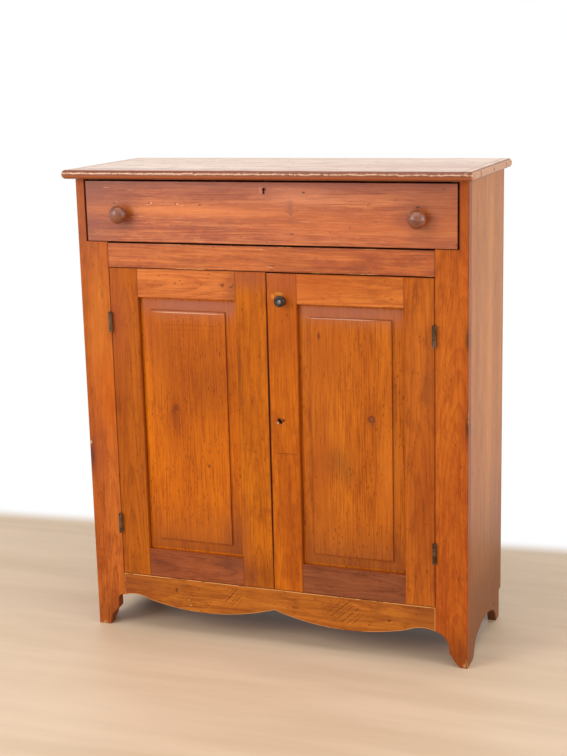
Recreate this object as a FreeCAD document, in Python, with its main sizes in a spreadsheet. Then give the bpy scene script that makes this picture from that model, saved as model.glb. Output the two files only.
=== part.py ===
import FreeCAD, Part
import math
import os
from types import SimpleNamespace

import Sketcher

# A jelly cupboard in old pine: one full-width drawer over a pair of framed doors with raised panels.
# X runs to the right, Y to the back and Z up. The origin is on the floor under the middle of the piece.
# Every X below is counted from the middle of the case, and every Y from the front plane of the face
# frame; place() puts those two planes at case_x and face_y.

DIMENSIONS = {
    # case
    "case_width": 982.0,
    "case_depth": 368.0,
    "case_height": 1158.0,
    "board_thick": 22.0,
    "frame_thick": 25.0,
    "back_thick": 12.0,
    "rabbet_width": 11.0,
    "back_board_gap": 0.6,
    # top
    "top_thick": 22.0,
    "top_left_overhang": 23.0,
    "top_right_overhang": 17.0,
    "top_front_overhang": 36.0,
    "top_back_overhang": 8.0,
    "nosing_radius": 10.5,
    "left_strip_width": 24.5,
    "right_strip_width": 21.0,
    "corner_radius": 12.0,
    # face frame
    "stile_width": 78.5,
    "front_rail_height": 59.5,
    "front_rail_drop": 3.0,
    "drawer_space": 154.5,
    # skirt
    "skirt_top": 145.5,
    "skirt_end_height": 86.0,
    "skirt_cusp_height": 92.0,
    "skirt_belly_radius": 600.0,
    "skirt_cove_run": 70.0,
    "skirt_cove_height": 81.0,
    "skirt_cove_radius": 92.0,
    # front feet, counted inward from the outer edge of the case
    "right_foot_waist": 44.5,
    "right_foot_cove_height": 52.0,
    "right_foot_cove_radius": 50.0,
    "right_foot_knee_height": 34.0,
    "right_foot_toe": 30.0,
    "right_foot_toe_height": 13.0,
    "right_foot_sole": 17.0,
    "left_foot_waist": 58.5,
    "left_foot_cove_height": 72.0,
    "left_foot_cove_radius": 15.0,
    "left_foot_knee_height": 50.0,
    "left_foot_toe": 37.5,
    "left_foot_toe_height": 27.0,
    "left_foot_sole": 31.5,
    # cut-out of the side boards
    "side_toe": 46.0,
    "side_toe_run": 22.0,
    "side_toe_height": 13.0,
    "side_toe_radius": 26.0,
    "side_cove_run": 44.0,
    "side_cove_height": 51.0,
    "side_cove_radius": 55.0,
    "side_crown_radius": 250.0,
    "side_heel_width": 32.0,
    "side_shoulder_run": 36.0,
    "side_shoulder_height": 42.0,
    "side_shoulder_radius": 60.0,
    "skirting_notch_depth": 20.0,
    "skirting_notch_height": 72.0,
    # shelves
    "bottom_thick": 20.0,
    "shelf_thick": 18.0,
    "shelf_pitch": 267.0,
    "cleat_size": 20.0,
    "cleat_front": 45.0,
    "cleat_back_gap": 16.0,
    "block_size": 20.0,
    "block_length": 60.0,
    "block_spacing": 220.0,
    # drawer carcase parts
    "runner_width": 25.0,
    "runner_depth": 20.0,
    "runner_clearance": 0.3,
    "guide_height": 18.0,
    "guide_clearance": 0.5,
    "kicker_width": 24.0,
    "kicker_thick": 8.0,
    "stop_size": 20.0,
    "stop_height": 26.0,
    "back_rail_height": 38.0,
    "back_rail_thick": 18.0,
    # doors
    "door_thick": 22.0,
    "door_hinge_gap": 1.2,
    "door_bottom_gap": 1.5,
    "meeting_offset": 2.2,
    "meeting_gap": 2.4,
    "right_door_top_gap": 3.2,
    "left_door_top_gap": 1.5,
    "right_hinge_stile_width": 72.0,
    "left_hinge_stile_width": 75.0,
    "right_meeting_stile_width": 74.2,
    "left_meeting_stile_width": 78.8,
    "right_top_rail_height": 72.0,
    "left_top_rail_height": 71.0,
    "door_bottom_rail_height": 72.0,
    "frame_tenon_length": 35.0,
    "tenon_length": 30.0,
    "tenon_thick": 8.0,
    "tenon_shoulder": 12.0,
    "tenon_front": 7.0,
    "joint_clearance": 0.2,
    "groove_depth": 9.0,
    "panel_tongue": 6.0,
    "panel_tongue_front": 12.0,
    "panel_tongue_reach": 8.0,
    "panel_margin": 30.5,
    "panel_bevel_front": 7.5,
    "panel_field_front": 4.0,
    # hinges
    "hinge_length": 50.0,
    "hinge_upper_drop": 136.3,
    "hinge_lower_rise": 137.0,
    "knuckle_radius": 4.8,
    "knuckle_clearance": 0.4,
    "knuckle_end_gap": 0.3,
    "leaf_thick": 1.8,
    "leaf_gap": 0.1,
    "leaf_width": 20.0,
    "leaf_front": 0.2,
    "pin_radius": 2.4,
    "pin_clearance": 0.05,
    "screw_head_radius": 3.3,
    "screw_radius": 1.7,
    "screw_length": 14.0,
    "screw_spread": 16.0,
    # drawer
    "drawer_front_bottom_gap": 1.5,
    "drawer_front_top_gap": 7.0,
    "drawer_front_thick": 22.0,
    "drawer_side_gap": 4.5,
    "drawer_side_drop": 4.0,
    "drawer_side_thick": 14.0,
    "drawer_back_space": 21.0,
    "drawer_bottom_thick": 8.0,
    "drawer_bottom_lift": 8.0,
    "drawer_groove_depth": 6.5,
    "drawer_groove_clearance": 0.2,
    "drawer_back_drop": 8.0,
    "tail_lap": 8.0,
    "tail_wide": 30.0,
    "tail_narrow": 24.0,
    "tail_clearance": 0.15,
    # turned drawer knobs
    "left_knob_inset": 94.5,
    "right_knob_inset": 88.5,
    "knob_rise": 67.5,
    "knob_projection": 38.0,
    "knob_head_radius": 22.2,
    "knob_head_base": 22.0,
    "knob_neck_radius": 10.0,
    "knob_neck_height": 7.0,
    "knob_foot_radius": 13.0,
    "knob_foot_height": 2.0,
    "knob_undercut_radius": 14.0,
    "knob_tenon_radius": 8.0,
    "knob_tenon_length": 20.0,
    "knob_tenon_clearance": 0.05,
    # locks
    "lock_wall": 10.0,
    "lock_case_clearance": 0.2,
    "drawer_lock_x": 2.4,
    "drawer_lock_width": 60.0,
    "drawer_lock_height": 45.0,
    "drawer_keyhole_drop": 16.5,
    "drawer_keyhole_radius": 3.4,
    "drawer_keyhole_slot": 11.0,
    "drawer_keyhole_width": 4.0,
    "drawer_bolt_width": 18.0,
    "drawer_bolt_length": 32.0,
    "drawer_bolt_travel": 13.0,
    "bolt_wall": 4.0,
    "bolt_thick": 4.0,
    "bolt_clearance": 0.3,
    "bolt_end_gap": 1.0,
    "door_lock_rise": 433.2,
    "door_lock_backset": 25.3,
    "door_lock_width": 55.0,
    "door_lock_length": 76.0,
    "door_keyhole_width": 14.0,
    "door_keyhole_length": 15.0,
    "door_bolt_height": 18.0,
    "door_bolt_length": 34.0,
    "door_bolt_travel": 11.0,
    # door knob and catch
    "catch_backset": 37.6,
    "catch_drop": 67.0,
    "spindle_radius": 4.0,
    "spindle_clearance": 0.05,
    "spindle_reach_in_knob": 10.0,
    "catch_gap": 0.6,
    "catch_thick": 8.0,
    "catch_width": 15.0,
    "catch_hub_radius": 11.0,
    "catch_length": 61.0,
    "rivet_radius": 7.0,
    "rivet_thick": 2.0,
    "door_knob_gap": 0.4,
    "door_knob_radius": 13.2,
    "door_knob_projection": 21.0,
    "door_knob_rim_base": 13.0,
    "door_knob_rim": 5.5,
    "door_knob_neck_radius": 6.2,
    "door_knob_foot_radius": 9.5,
    "door_knob_foot_height": 2.5,
    "door_knob_flare_radius": 13.0,
    "door_knob_dish_radius": 10.0,
    "door_knob_dish": 1.2,
    # slide bolt on the left door
    "slide_bolt_backset": 43.0,
    "slide_bolt_radius": 3.5,
    "slide_bolt_length": 90.0,
    "slide_bolt_drop": 6.0,
    "slide_bolt_rail_gap": 0.4,
    "slide_bolt_travel": 16.0,
    "slide_plate_width": 20.0,
    "slide_plate_thick": 1.5,
    "slide_plate_length": 80.0,
    "slide_plate_drop": 20.0,
    "staple_height": 8.0,
    "staple_wall": 2.0,
    "bolt_thumb_radius": 3.0,
    "bolt_thumb_length": 12.0,
    # nails
    "nail_size": 3.0,
    "nail_length": 50.0,
    "nail_head_length": 6.0,
    "nail_head_width": 4.5,
    "nail_head_thick": 1.5,
    "top_nail_shift": 25.0,
    "end_nail_size": 4.6,
    "end_nail_hole": 5.2,
    "end_nail_set": 1.8,
    "end_nail_length": 46.0,
    "nail_front_inset": 43.0,
    "nail_back_inset": 57.0,
    "back_nail_radius": 1.5,
    "back_nail_length": 30.0,
    "back_nail_head_radius": 3.2,
    "back_nail_edge": 25.0,
}

BACK_BOARDS = 5
GLUE_BLOCKS = 4
NAILS_PER_EDGE = 3
TAILS = 3
# the worn keyhole's corners, as shares of its half width and half length
WORN_CORNERS = [(-0.35, 1), (-1, 0.1), (-0.25, -0.8), (0.45, -1), (1, -0.2), (0.3, 0.45)]

doc = FreeCAD.newDocument("JellyCupboard")
sheet = doc.addObject("Spreadsheet::Sheet", "Dims")
for row, (name, value) in enumerate(DIMENSIONS.items(), start=1):
    sheet.set(f"A{row}", name)
    sheet.set(f"B{row}", str(value))
    sheet.setAlias(f"B{row}", name)
doc.recompute()


class Size:
    """A length as a number and as the sheet formula that drives it, so that both always agree."""

    def __init__(self, number, formula=None):
        self.number = float(number)
        self.formula = formula or repr(float(number))

    def join(self, sign, other, number):
        return Size(number, f"({self.formula} {sign} {other.formula})")

    def __add__(self, other):
        other = size(other)
        return self.join("+", other, self.number + other.number)

    def __sub__(self, other):
        other = size(other)
        return self.join("-", other, self.number - other.number)

    def __rsub__(self, other):
        return size(other) - self

    def __mul__(self, other):
        other = size(other)
        return self.join("*", other, self.number * other.number)

    def __truediv__(self, other):
        other = size(other)
        return self.join("/", other, self.number / other.number)

    def __neg__(self):
        return Size(-self.number, f"(0 - {self.formula})")

    __radd__ = __add__
    __rmul__ = __mul__


def size(value):
    return value if isinstance(value, Size) else Size(value)


def about(middle, length):
    """The low and high value of a length that is centred on a place."""
    return middle - length / 2, middle + length / 2


def larger(first, second):
    return Size(max(first.number, second.number), f"max({first.formula}; {second.formula})")


d = SimpleNamespace(**{name: Size(value, f"Dims.{name}") for name, value in DIMENSIONS.items()})

# ---- planes that several pieces share

half_width = d.case_width / 2
side_inner = half_width - d.board_thick
stile_inner = half_width - d.stile_width
top_surface = d.case_height + d.top_thick
top_reach = {"left": half_width + d.top_left_overhang, "right": half_width + d.top_right_overhang}
strip_inner = {side: reach - getattr(d, f"{side}_strip_width") for side, reach in top_reach.items()}
back_inner = d.case_depth - d.back_thick
rabbet_edge = side_inner + d.rabbet_width
drawer_sill = d.case_height - d.drawer_space
drawer_base = drawer_sill + d.drawer_front_bottom_gap
drawer_top = d.case_height - d.drawer_front_top_gap
rail_top = drawer_sill - d.front_rail_drop
rail_bottom = rail_top - d.front_rail_height
runner_top = drawer_base - d.runner_clearance
front_reach = larger(d.top_front_overhang, d.knob_projection)
back_reach = d.case_depth + d.top_back_overhang
case_x = (top_reach["left"] - top_reach["right"]) / 2
face_y = (front_reach - back_reach) / 2

pieces = []


def keep(thing):
    """Registers a finished sub-part; its label is the name of its file."""
    pieces.append(thing)
    return thing


# ---- solids bound to the sheet


def bind(thing, **properties):
    for name, value in properties.items():
        thing.setExpression(name, size(value).formula)


def place(thing, x=0, y=0, z=0):
    """Puts an object at a point counted from the middle of the case and the front of the face frame."""
    for axis, value in zip("xyz", (case_x + x, face_y + y, size(z))):
        thing.setExpression("Placement.Base." + axis, value.formula)
    return thing


def box(label, x, y, z):
    """A rectangular block from a low and a high value on each axis."""
    block = doc.addObject("Part::Box", label)
    spans = [(size(low), size(high)) for low, high in (x, y, z)]
    for side, (low, high) in zip(("Length", "Width", "Height"), spans):
        bind(block, **{side: high - low})
    return place(block, *(low for low, high in spans))


TURNS = {
    "x": FreeCAD.Rotation(FreeCAD.Vector(0, 1, 0), 90),
    "y": FreeCAD.Rotation(FreeCAD.Vector(1, 0, 0), -90),
    "z": FreeCAD.Rotation(),
}


def rod(label, axis, radius, centre, span):
    """A round rod along an axis; centre gives the two other coordinates in X, Y, Z order."""
    cylinder = doc.addObject("Part::Cylinder", label)
    low, high = (size(end) for end in span)
    bind(cylinder, Radius=radius, Height=high - low)
    cylinder.Placement.Rotation = TURNS[axis]
    return place(cylinder, **point_on(axis, low, centre))


def taper(label, axis, radii, centre, span):
    """A cone along an axis, with its radius at the low and at the high end."""
    cone = doc.addObject("Part::Cone", label)
    low, high = (size(end) for end in span)
    bind(cone, Radius1=radii[0], Radius2=radii[1], Height=high - low)
    cone.Placement.Rotation = TURNS[axis]
    return place(cone, **point_on(axis, low, centre))


def point_on(axis, along, centre):
    others = [name for name in "xyz" if name != axis]
    return {axis: along, others[0]: centre[0], others[1]: centre[1]}


def fuse(label, *solids):
    joined = doc.addObject("Part::MultiFuse", label)
    joined.Shapes = list(solids)
    joined.Refine = True
    return joined


def cut(label, base, *tools):
    """The base without its tools, which are joined first where there are several."""
    result = doc.addObject("Part::Cut", label)
    result.Base = base
    result.Tool = tools[0] if len(tools) == 1 else fuse(label + "_cutters", *tools)
    return result


def group(label, solids):
    """Several like solids kept apart under one name."""
    compound = doc.addObject("Part::Compound", label)
    compound.Links = list(solids)
    return compound


def mirror(label, source):
    """The left-hand copy of a right-hand piece."""
    reflected = doc.addObject("Part::Mirroring", label)
    reflected.Source = source
    reflected.Normal = FreeCAD.Vector(1, 0, 0)
    bind(reflected, **{"Base.x": case_x})
    return reflected


# ---- sketched bodies


def new_body(label):
    return doc.addObject("PartDesign::Body", label)


def origin_plane(body, role):
    return next(feature for feature in body.Origin.OriginFeatures if feature.Role == role)


def arc_curve(start, end, radius, side):
    """The short arc between two points, with its centre to the left (1) or right (-1) of the way."""
    chord = end - start
    normal = FreeCAD.Vector(-chord.y, chord.x, 0).normalize() * side
    rise = math.sqrt(radius**2 - (chord.Length / 2) ** 2)
    middle = (start + end) / 2 + normal * (rise - radius)
    return Part.Arc(start, middle, end) if side > 0 else Part.Arc(end, middle, start)


def draw(body, role, corners, offset=None):
    """A closed outline on an origin plane, of corners (x, y), or (x, y, radius, side) where an arc leaves."""
    sketch = body.newObject("Sketcher::SketchObject", body.Name + "_outline")
    sketch.AttachmentSupport = [(origin_plane(body, role), "")]
    sketch.MapMode = "FlatFace"
    if offset is not None:
        bind(sketch, **{"AttachmentOffset.Base.z": offset})
    places = [(size(corner[0]), size(corner[1])) for corner in corners]
    points = [FreeCAD.Vector(x.number, y.number, 0) for x, y in places]
    ends = []
    for index, corner in enumerate(corners):
        start, end = points[index], points[(index + 1) % len(points)]
        if len(corner) == 2:
            ends.append((sketch.addGeometry(Part.LineSegment(start, end)), 1, 2))
            continue
        radius, side = size(corner[2]), corner[3]
        edge = sketch.addGeometry(arc_curve(start, end, radius.number, side))
        ends.append((edge, 1, 2) if side > 0 else (edge, 2, 1))
        measure(sketch, "Radius", (edge,), radius)
    for index, (edge, first, last) in enumerate(ends):
        following, follow_first, _ = ends[(index + 1) % len(ends)]
        sketch.addConstraint(Sketcher.Constraint("Coincident", edge, last, following, follow_first))
        pin(sketch, edge, first, *places[index])
    return sketch


def pin(sketch, edge, end, x, y):
    """Fixes a point of the sketch by its two distances from the origin."""
    for kind, value, axis in (("DistanceX", x, -2), ("DistanceY", y, -1)):
        if value.number == 0:
            sketch.addConstraint(Sketcher.Constraint("PointOnObject", edge, end, axis))
        else:
            measure(sketch, kind, (-1, 1, edge, end), value)


def measure(sketch, kind, where, value):
    index = sketch.addConstraint(Sketcher.Constraint(kind, *where, value.number))
    sketch.setExpression(f"Constraints[{index}]", value.formula)


def pad(body, sketch, length, backwards=False):
    feature = body.newObject("PartDesign::Pad", body.Name + "_pad")
    feature.Profile = sketch
    feature.Reversed = backwards
    bind(feature, Length=length)
    return feature


def pocket(body, sketch, length, backwards=False):
    feature = body.newObject("PartDesign::Pocket", body.Name + "_pocket")
    feature.Profile = sketch
    feature.Reversed = backwards
    bind(feature, Length=length)
    return feature


def round_edges(body, feature, radius, wanted):
    """Rounds the edges of a feature for whose middle point the test holds."""
    doc.recompute()
    names = [
        f"Edge{number}"
        for number, edge in enumerate(feature.Shape.Edges, start=1)
        if wanted(edge.valueAt((edge.FirstParameter + edge.LastParameter) / 2))
    ]
    fillet = body.newObject("PartDesign::Fillet", body.Name + "_round")
    fillet.Base = (feature, names)
    bind(fillet, Radius=radius)
    return fillet


def turn(body, corners):
    """A turned piece: the outline gives radius and height, and it is turned about the body's own Z."""
    sketch = draw(body, "XZ_Plane", corners)
    feature = body.newObject("PartDesign::Revolution", body.Name + "_turning")
    feature.Profile = sketch
    feature.ReferenceAxis = (origin_plane(body, "Z_Axis"), [""])
    feature.Angle = 360
    return feature


# ---- side boards: wide upright boards, cut out between the feet and rabbeted for the back


def side_board():
    body = new_body("side_board_right")
    cove_foot = d.side_toe + d.side_toe_run
    cove_top = cove_foot + d.side_cove_run
    notch_front = d.case_depth - d.skirting_notch_depth
    heel = notch_front - d.side_heel_width
    shoulder = heel - d.side_shoulder_run
    outline = [
        (d.frame_thick, 0),
        (d.frame_thick, d.case_height),
        (d.case_depth, d.case_height),
        (d.case_depth, d.skirting_notch_height),
        (notch_front, d.skirting_notch_height),
        (notch_front, 0),
        (heel, 0, d.side_shoulder_radius, 1),
        (shoulder, d.side_shoulder_height, d.side_crown_radius, 1),
        (cove_top, d.side_cove_height, d.side_cove_radius, 1),
        (cove_foot, d.side_toe_height, d.side_toe_radius, -1),
        (d.side_toe, 0),
    ]
    pad(body, draw(body, "YZ_Plane", outline, side_inner), d.board_thick)
    rabbet = [
        (side_inner, back_inner),
        (rabbet_edge, back_inner),
        (rabbet_edge, d.case_depth),
        (side_inner, d.case_depth),
    ]
    pocket(body, draw(body, "XY_Plane", rabbet), d.case_height, backwards=True)
    return keep(place(body))


keep(mirror("side_board_left", side_board()))

# ---- face frame: stiles that run down into the feet, a rail under the drawer, and the scalloped skirt

hinge_axis_x = stile_inner - d.door_hinge_gap / 2
hinge_axis_y = -(d.knuckle_radius + d.knuckle_clearance)
frame_leaf = (hinge_axis_x + d.leaf_gap / 2, hinge_axis_x + d.leaf_gap / 2 + d.leaf_thick)
door_leaf = (hinge_axis_x - d.leaf_gap / 2 - d.leaf_thick, hinge_axis_x - d.leaf_gap / 2)
hinge_heights = {"lower": d.skirt_top + d.hinge_lower_rise, "upper": rail_bottom - d.hinge_upper_drop}


def hinge_gains(label, low_x, high_x):
    """Shallow housings for the two hinge leaves in the edge of a stile."""
    deep = d.leaf_width + d.knuckle_end_gap
    tall = d.hinge_length + d.knuckle_end_gap * 2
    return [
        box(f"{label}_{level}_gain", (low_x, high_x), (-d.leaf_width, deep), about(height, tall))
        for level, height in hinge_heights.items()
    ]


tenon_y = (d.tenon_front, d.tenon_front + d.tenon_thick)
mortise_y = (tenon_y[0] - d.joint_clearance, tenon_y[1] + d.joint_clearance)
frame_tenons = {
    "rail": (rail_bottom + d.tenon_shoulder, rail_top - d.tenon_shoulder),
    "skirt": (d.skirt_end_height + d.tenon_shoulder, d.skirt_top - d.tenon_shoulder),
}


def frame_tenon(name):
    """One bar through the piece that stands out at both ends as its tenons."""
    reach = stile_inner + d.frame_tenon_length
    return box(name + "_tenons", (-reach, reach), tenon_y, frame_tenons[name])


def face_stile(side):
    """A stile in its right-hand place, with the foot of the side it is for."""
    foot = {name: getattr(d, f"{side}_foot_{name}") for name in (
        "waist", "cove_height", "cove_radius", "knee_height", "toe", "toe_height", "sole")}
    waist_x = half_width - foot["waist"]
    outline = [
        (half_width - foot["sole"], 0),
        (half_width, 0),
        (half_width, d.case_height),
        (side_inner, d.case_height),
        (side_inner, drawer_sill),
        (stile_inner, drawer_sill),
        (stile_inner, d.skirt_end_height, foot["cove_radius"], -1),
        (waist_x, foot["cove_height"]),
        (waist_x, foot["knee_height"]),
        (half_width - foot["toe"], foot["toe_height"]),
    ]
    body = new_body(f"{side}_stile_board")
    pad(body, draw(body, "XZ_Plane", outline), d.frame_thick, backwards=True)
    gains = hinge_gains(f"{side}_frame", stile_inner - d.leaf_thick, frame_leaf[1])
    deep = stile_inner + d.frame_tenon_length + d.joint_clearance
    mortises = [
        box(f"{side}_stile_{name}_mortise", (stile_inner, deep), mortise_y,
            (low - d.joint_clearance, high + d.joint_clearance))
        for name, (low, high) in frame_tenons.items()
    ]
    label = "face_stile_right" if side == "right" else "left_stile_pattern"
    return cut(label, place(body), *gains, *mortises)


keep(face_stile("right"))
keep(mirror("face_stile_left", face_stile("left")))
rail = box("rail_board", (-stile_inner, stile_inner), (0, d.frame_thick), (rail_bottom, rail_top))
keep(fuse("front_rail", rail, frame_tenon("rail")))


def skirt():
    body = new_body("skirt_board")
    half = [
        (0, d.skirt_cusp_height),
        (0, d.skirt_top),
        (stile_inner, d.skirt_top),
        (stile_inner, d.skirt_end_height, d.skirt_cove_radius, 1),
        (stile_inner - d.skirt_cove_run, d.skirt_cove_height, d.skirt_belly_radius, -1),
    ]
    half_board = pad(body, draw(body, "XZ_Plane", half), d.frame_thick, backwards=True)
    doc.recompute()
    whole = body.newObject("PartDesign::Mirrored", "skirt_whole")
    whole.Originals = [half_board]
    whole.MirrorPlane = (origin_plane(body, "YZ_Plane"), [""])
    body.Tip = whole
    return keep(fuse("skirt", place(body), frame_tenon("skirt")))


skirt()

# ---- top: a board with a rounded nosing, and a nailed strip across each end

top_depth = d.top_front_overhang + back_reach
nail_pitch = (d.case_depth - d.nail_front_inset - d.nail_back_inset) / (NAILS_PER_EDGE - 1)
nail_stations = [d.nail_front_inset + nail_pitch * index for index in range(NAILS_PER_EDGE)]
nail_line = top_surface - d.top_thick / 2
bolt_y = (d.lock_wall + d.bolt_wall, d.lock_wall + d.bolt_wall + d.bolt_thick)
mortise_margin = d.bolt_clearance * 2
bolt_mortise_y = about((bolt_y[0] + bolt_y[1]) / 2, d.bolt_thick + mortise_margin * 2)
drawer_bolt_top = drawer_top - d.bolt_clearance


def top_board():
    body = new_body("top_board_plank")
    radius = d.nosing_radius
    outline = [
        (radius, 0),
        (top_depth, 0),
        (top_depth, d.top_thick),
        (radius, d.top_thick, radius, 1),
        (0, d.top_thick - radius),
        (0, radius, radius, 1),
    ]
    length = strip_inner["left"] + strip_inner["right"]
    pad(body, draw(body, "YZ_Plane", outline, -strip_inner["left"]), length)
    place(body, 0, -d.top_front_overhang, d.case_height)
    mortise_top = drawer_bolt_top + d.drawer_bolt_travel + d.bolt_end_gap
    mortise = box("top_bolt_mortise", about(d.drawer_lock_x, d.drawer_bolt_width + mortise_margin * 2),
                  bolt_mortise_y, (drawer_top, mortise_top))
    return keep(cut("top_board", body, mortise))


def end_strip(side):
    """The strip across one end, in its right-hand place, with holes over its sunk nail heads."""
    body = new_body(f"{side}_strip_plank")
    width = getattr(d, f"{side}_strip_width")
    outline = [(0, 0), (width, 0), (width, top_depth), (0, top_depth)]
    plank = pad(body, draw(body, "XY_Plane", outline), d.top_thick)
    middle = d.top_thick.number / 2
    corner = round_edges(body, plank, d.corner_radius, lambda at: (
        at.x > width.number - 1 and at.y < 1 and abs(at.z - middle) < 1))
    round_edges(body, corner, d.nosing_radius, lambda at: (
        abs(at.z - middle) > middle - 1 and at.x > 1 and at.y < top_depth.number - 1))
    place(body, strip_inner[side], -d.top_front_overhang, d.case_height)
    holes = [
        box(f"{side}_nail_hole_{index}", about(top_reach[side], d.nosing_radius * 2),
            about(station, d.end_nail_hole), about(nail_line, d.end_nail_hole))
        for index, station in enumerate(nail_stations)
    ]
    return cut("top_end_right" if side == "right" else "left_strip_pattern", body, *holes)


top_board()
keep(end_strip("right"))
keep(mirror("top_end_left", end_strip("left")))

# ---- bottom board and shelves on cleats, glue blocks behind the skirt


def board_inside(label, top, thick):
    return keep(box(label, (-side_inner, side_inner), (d.frame_thick, back_inner), (top - thick, top)))


levels = {
    "bottom_board": (d.skirt_top, d.bottom_thick),
    "shelf_lower": (d.skirt_top + d.shelf_pitch, d.shelf_thick),
    "shelf_upper": (d.skirt_top + d.shelf_pitch * 2, d.shelf_thick),
}
cleats = []
for label, (top, thick) in levels.items():
    board_inside(label, top, thick)
    underside = top - thick
    right_cleat = box(label + "_cleat", (side_inner - d.cleat_size, side_inner),
                      (d.cleat_front, back_inner - d.cleat_back_gap), (underside - d.cleat_size, underside))
    cleats += [right_cleat, mirror(label + "_cleat_left", right_cleat)]
keep(group("shelf_cleats", cleats))

back_bottom = d.skirt_top - d.bottom_thick
keep(group("glue_blocks", [
    box(f"glue_block_{index}", about(d.block_spacing * (index - (GLUE_BLOCKS - 1) / 2), d.block_length),
        (d.frame_thick, d.frame_thick + d.block_size), (back_bottom - d.block_size, back_bottom))
    for index in range(GLUE_BLOCKS)
]))

# ---- back: upright boards in the rabbets, and the rail behind the drawer

back_pitch = rabbet_edge * 2 / BACK_BOARDS
for index in range(BACK_BOARDS):
    left_edge = -rabbet_edge + back_pitch * index
    keep(box(f"back_board_{index + 1}",
             (left_edge + d.back_board_gap / 2, left_edge + back_pitch - d.back_board_gap / 2),
             (back_inner, d.case_depth), (back_bottom, d.case_height)))
back_rail_front = back_inner - d.back_rail_thick
back_rail_bottom = d.case_height - d.back_rail_height
keep(box("back_rail", (-side_inner, side_inner), (back_rail_front, back_inner),
         (back_rail_bottom, d.case_height)))

# ---- what carries and guides the drawer

drawer_back = back_inner - d.drawer_back_space
stop_front = drawer_back + d.runner_clearance
runner_bar = box("runner_bar", (side_inner - d.runner_width, side_inner), (d.frame_thick, back_inner),
                 (runner_top - d.runner_depth, runner_top))
guide_strip = box("guide_strip", (side_inner - d.drawer_side_gap + d.guide_clearance, side_inner),
                  (d.frame_thick, stop_front), (runner_top, runner_top + d.guide_height))
runner = keep(fuse("drawer_runner_right", runner_bar, guide_strip))
keep(mirror("drawer_runner_left", runner))
kicker = box("kicker_right", (side_inner - d.kicker_width, side_inner),
             (d.frame_thick, back_rail_front), (d.case_height - d.kicker_thick, d.case_height))
keep(group("drawer_kickers", [kicker, mirror("kicker_left", kicker)]))
stop = box("stop_right", (side_inner - d.stop_size, side_inner), (stop_front, back_inner),
           (runner_top, runner_top + d.stop_height))
keep(group("drawer_stops", [stop, mirror("stop_left", stop)]))

# ---- nails: cut nails with square heads in the top, round-headed nails in the back


def top_nail(side, index, station):
    """A cut nail down through the top board into a side board; its head is longer than it is wide."""
    middle = (side_inner + strip_inner[side]) / 2
    label = f"{side}_top_nail_{index}"
    shank = box(label + "_shank", about(middle, d.nail_size), about(station, d.nail_size),
                (top_surface - d.nail_length, top_surface))
    head = box(label + "_head", about(middle, d.nail_head_width), about(station, d.nail_head_length),
               (top_surface - d.nail_head_thick, top_surface))
    return fuse(label, shank, head)


def end_nail(side, index, station):
    """A square nail through an end strip into the end of the top board."""
    head = top_reach[side] - d.end_nail_set
    return box(f"{side}_end_nail_{index}", (head - d.end_nail_length, head),
               about(station, d.end_nail_size), about(nail_line, d.end_nail_size))


def nails_of(side):
    nails = []
    for index, station in enumerate(nail_stations):
        nails += [end_nail(side, index, station), top_nail(side, index, station + d.top_nail_shift)]
    return nails


left_nails = [mirror(nail.Name + "_mirrored", nail) for nail in nails_of("left")]
keep(group("top_nails", nails_of("right") + left_nails))


def back_nail(board, row, edge, height):
    """A round-headed nail near one edge of a back board, into what lies behind it."""
    label = f"back_nail_{board}_{row}_{edge}"
    across = d.back_nail_edge if edge else back_pitch - d.back_nail_edge
    x = -rabbet_edge + back_pitch * board + across
    shank = rod(label + "_shank", "y", d.back_nail_radius, (x, height),
                (d.case_depth - d.back_nail_length, d.case_depth))
    head = rod(label + "_head", "y", d.back_nail_head_radius, (x, height),
               (d.case_depth, d.case_depth + d.nail_head_thick))
    return fuse(label, shank, head)


back_nail_heights = [top - thick / 2 for top, thick in levels.values()]
back_nail_heights.append(back_rail_bottom + d.back_rail_height / 2)
keep(group("back_nails", [
    back_nail(board, row, edge, height)
    for board in range(BACK_BOARDS) for row, height in enumerate(back_nail_heights) for edge in (0, 1)
]))

# ---- hinges: iron butts, with the barrel standing just proud of the face

knuckle_length = d.hinge_length / 3
leaf_screw_y = (d.leaf_front + d.leaf_width) / 2
hinge_axis = (hinge_axis_x, hinge_axis_y)


def knuckles(label, leaf, spans, height):
    """Barrel sections of one leaf, with the necks that join them to its plate."""
    parts = []
    for index, (low, high) in enumerate(spans):
        span = (height + low, height + high)
        barrel = rod(f"{label}_barrel_{index}", "z", d.knuckle_radius, hinge_axis, span)
        neck = box(f"{label}_neck_{index}", leaf, (hinge_axis_y, d.leaf_front), span)
        parts += [barrel, neck]
    return parts


def leaf_spans(kind):
    half = d.hinge_length / 2
    third = knuckle_length / 2
    gap = d.knuckle_end_gap / 2
    if kind == "door":
        return [(gap - third, third - gap)]
    return [(-half, -third - gap), (third + gap, half)]


def screw_tools(label, kind, level, height, grow=0):
    """Countersunk screws, or with grow the holes for them, in one leaf."""
    tools = []
    surface, deep = (frame_leaf if kind == "frame" else (door_leaf[1], door_leaf[0]))
    for index, rise in enumerate((-d.screw_spread, d.screw_spread)):
        centre = (leaf_screw_y, height + rise)
        name = f"{label}_{level}_{index}"
        wide, narrow = d.screw_head_radius + grow, d.screw_radius + grow
        if kind == "frame":
            head = taper(name + "_head", "x", (wide, narrow), centre, (surface, deep))
            shank = rod(name + "_shank", "x", narrow, centre, (surface, surface + d.screw_length))
        else:
            head = taper(name + "_head", "x", (narrow, wide), centre, (deep, surface))
            shank = rod(name + "_shank", "x", narrow, centre, (surface - d.screw_length, surface))
        tools.append(fuse(name, head, shank))
    return tools


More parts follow.
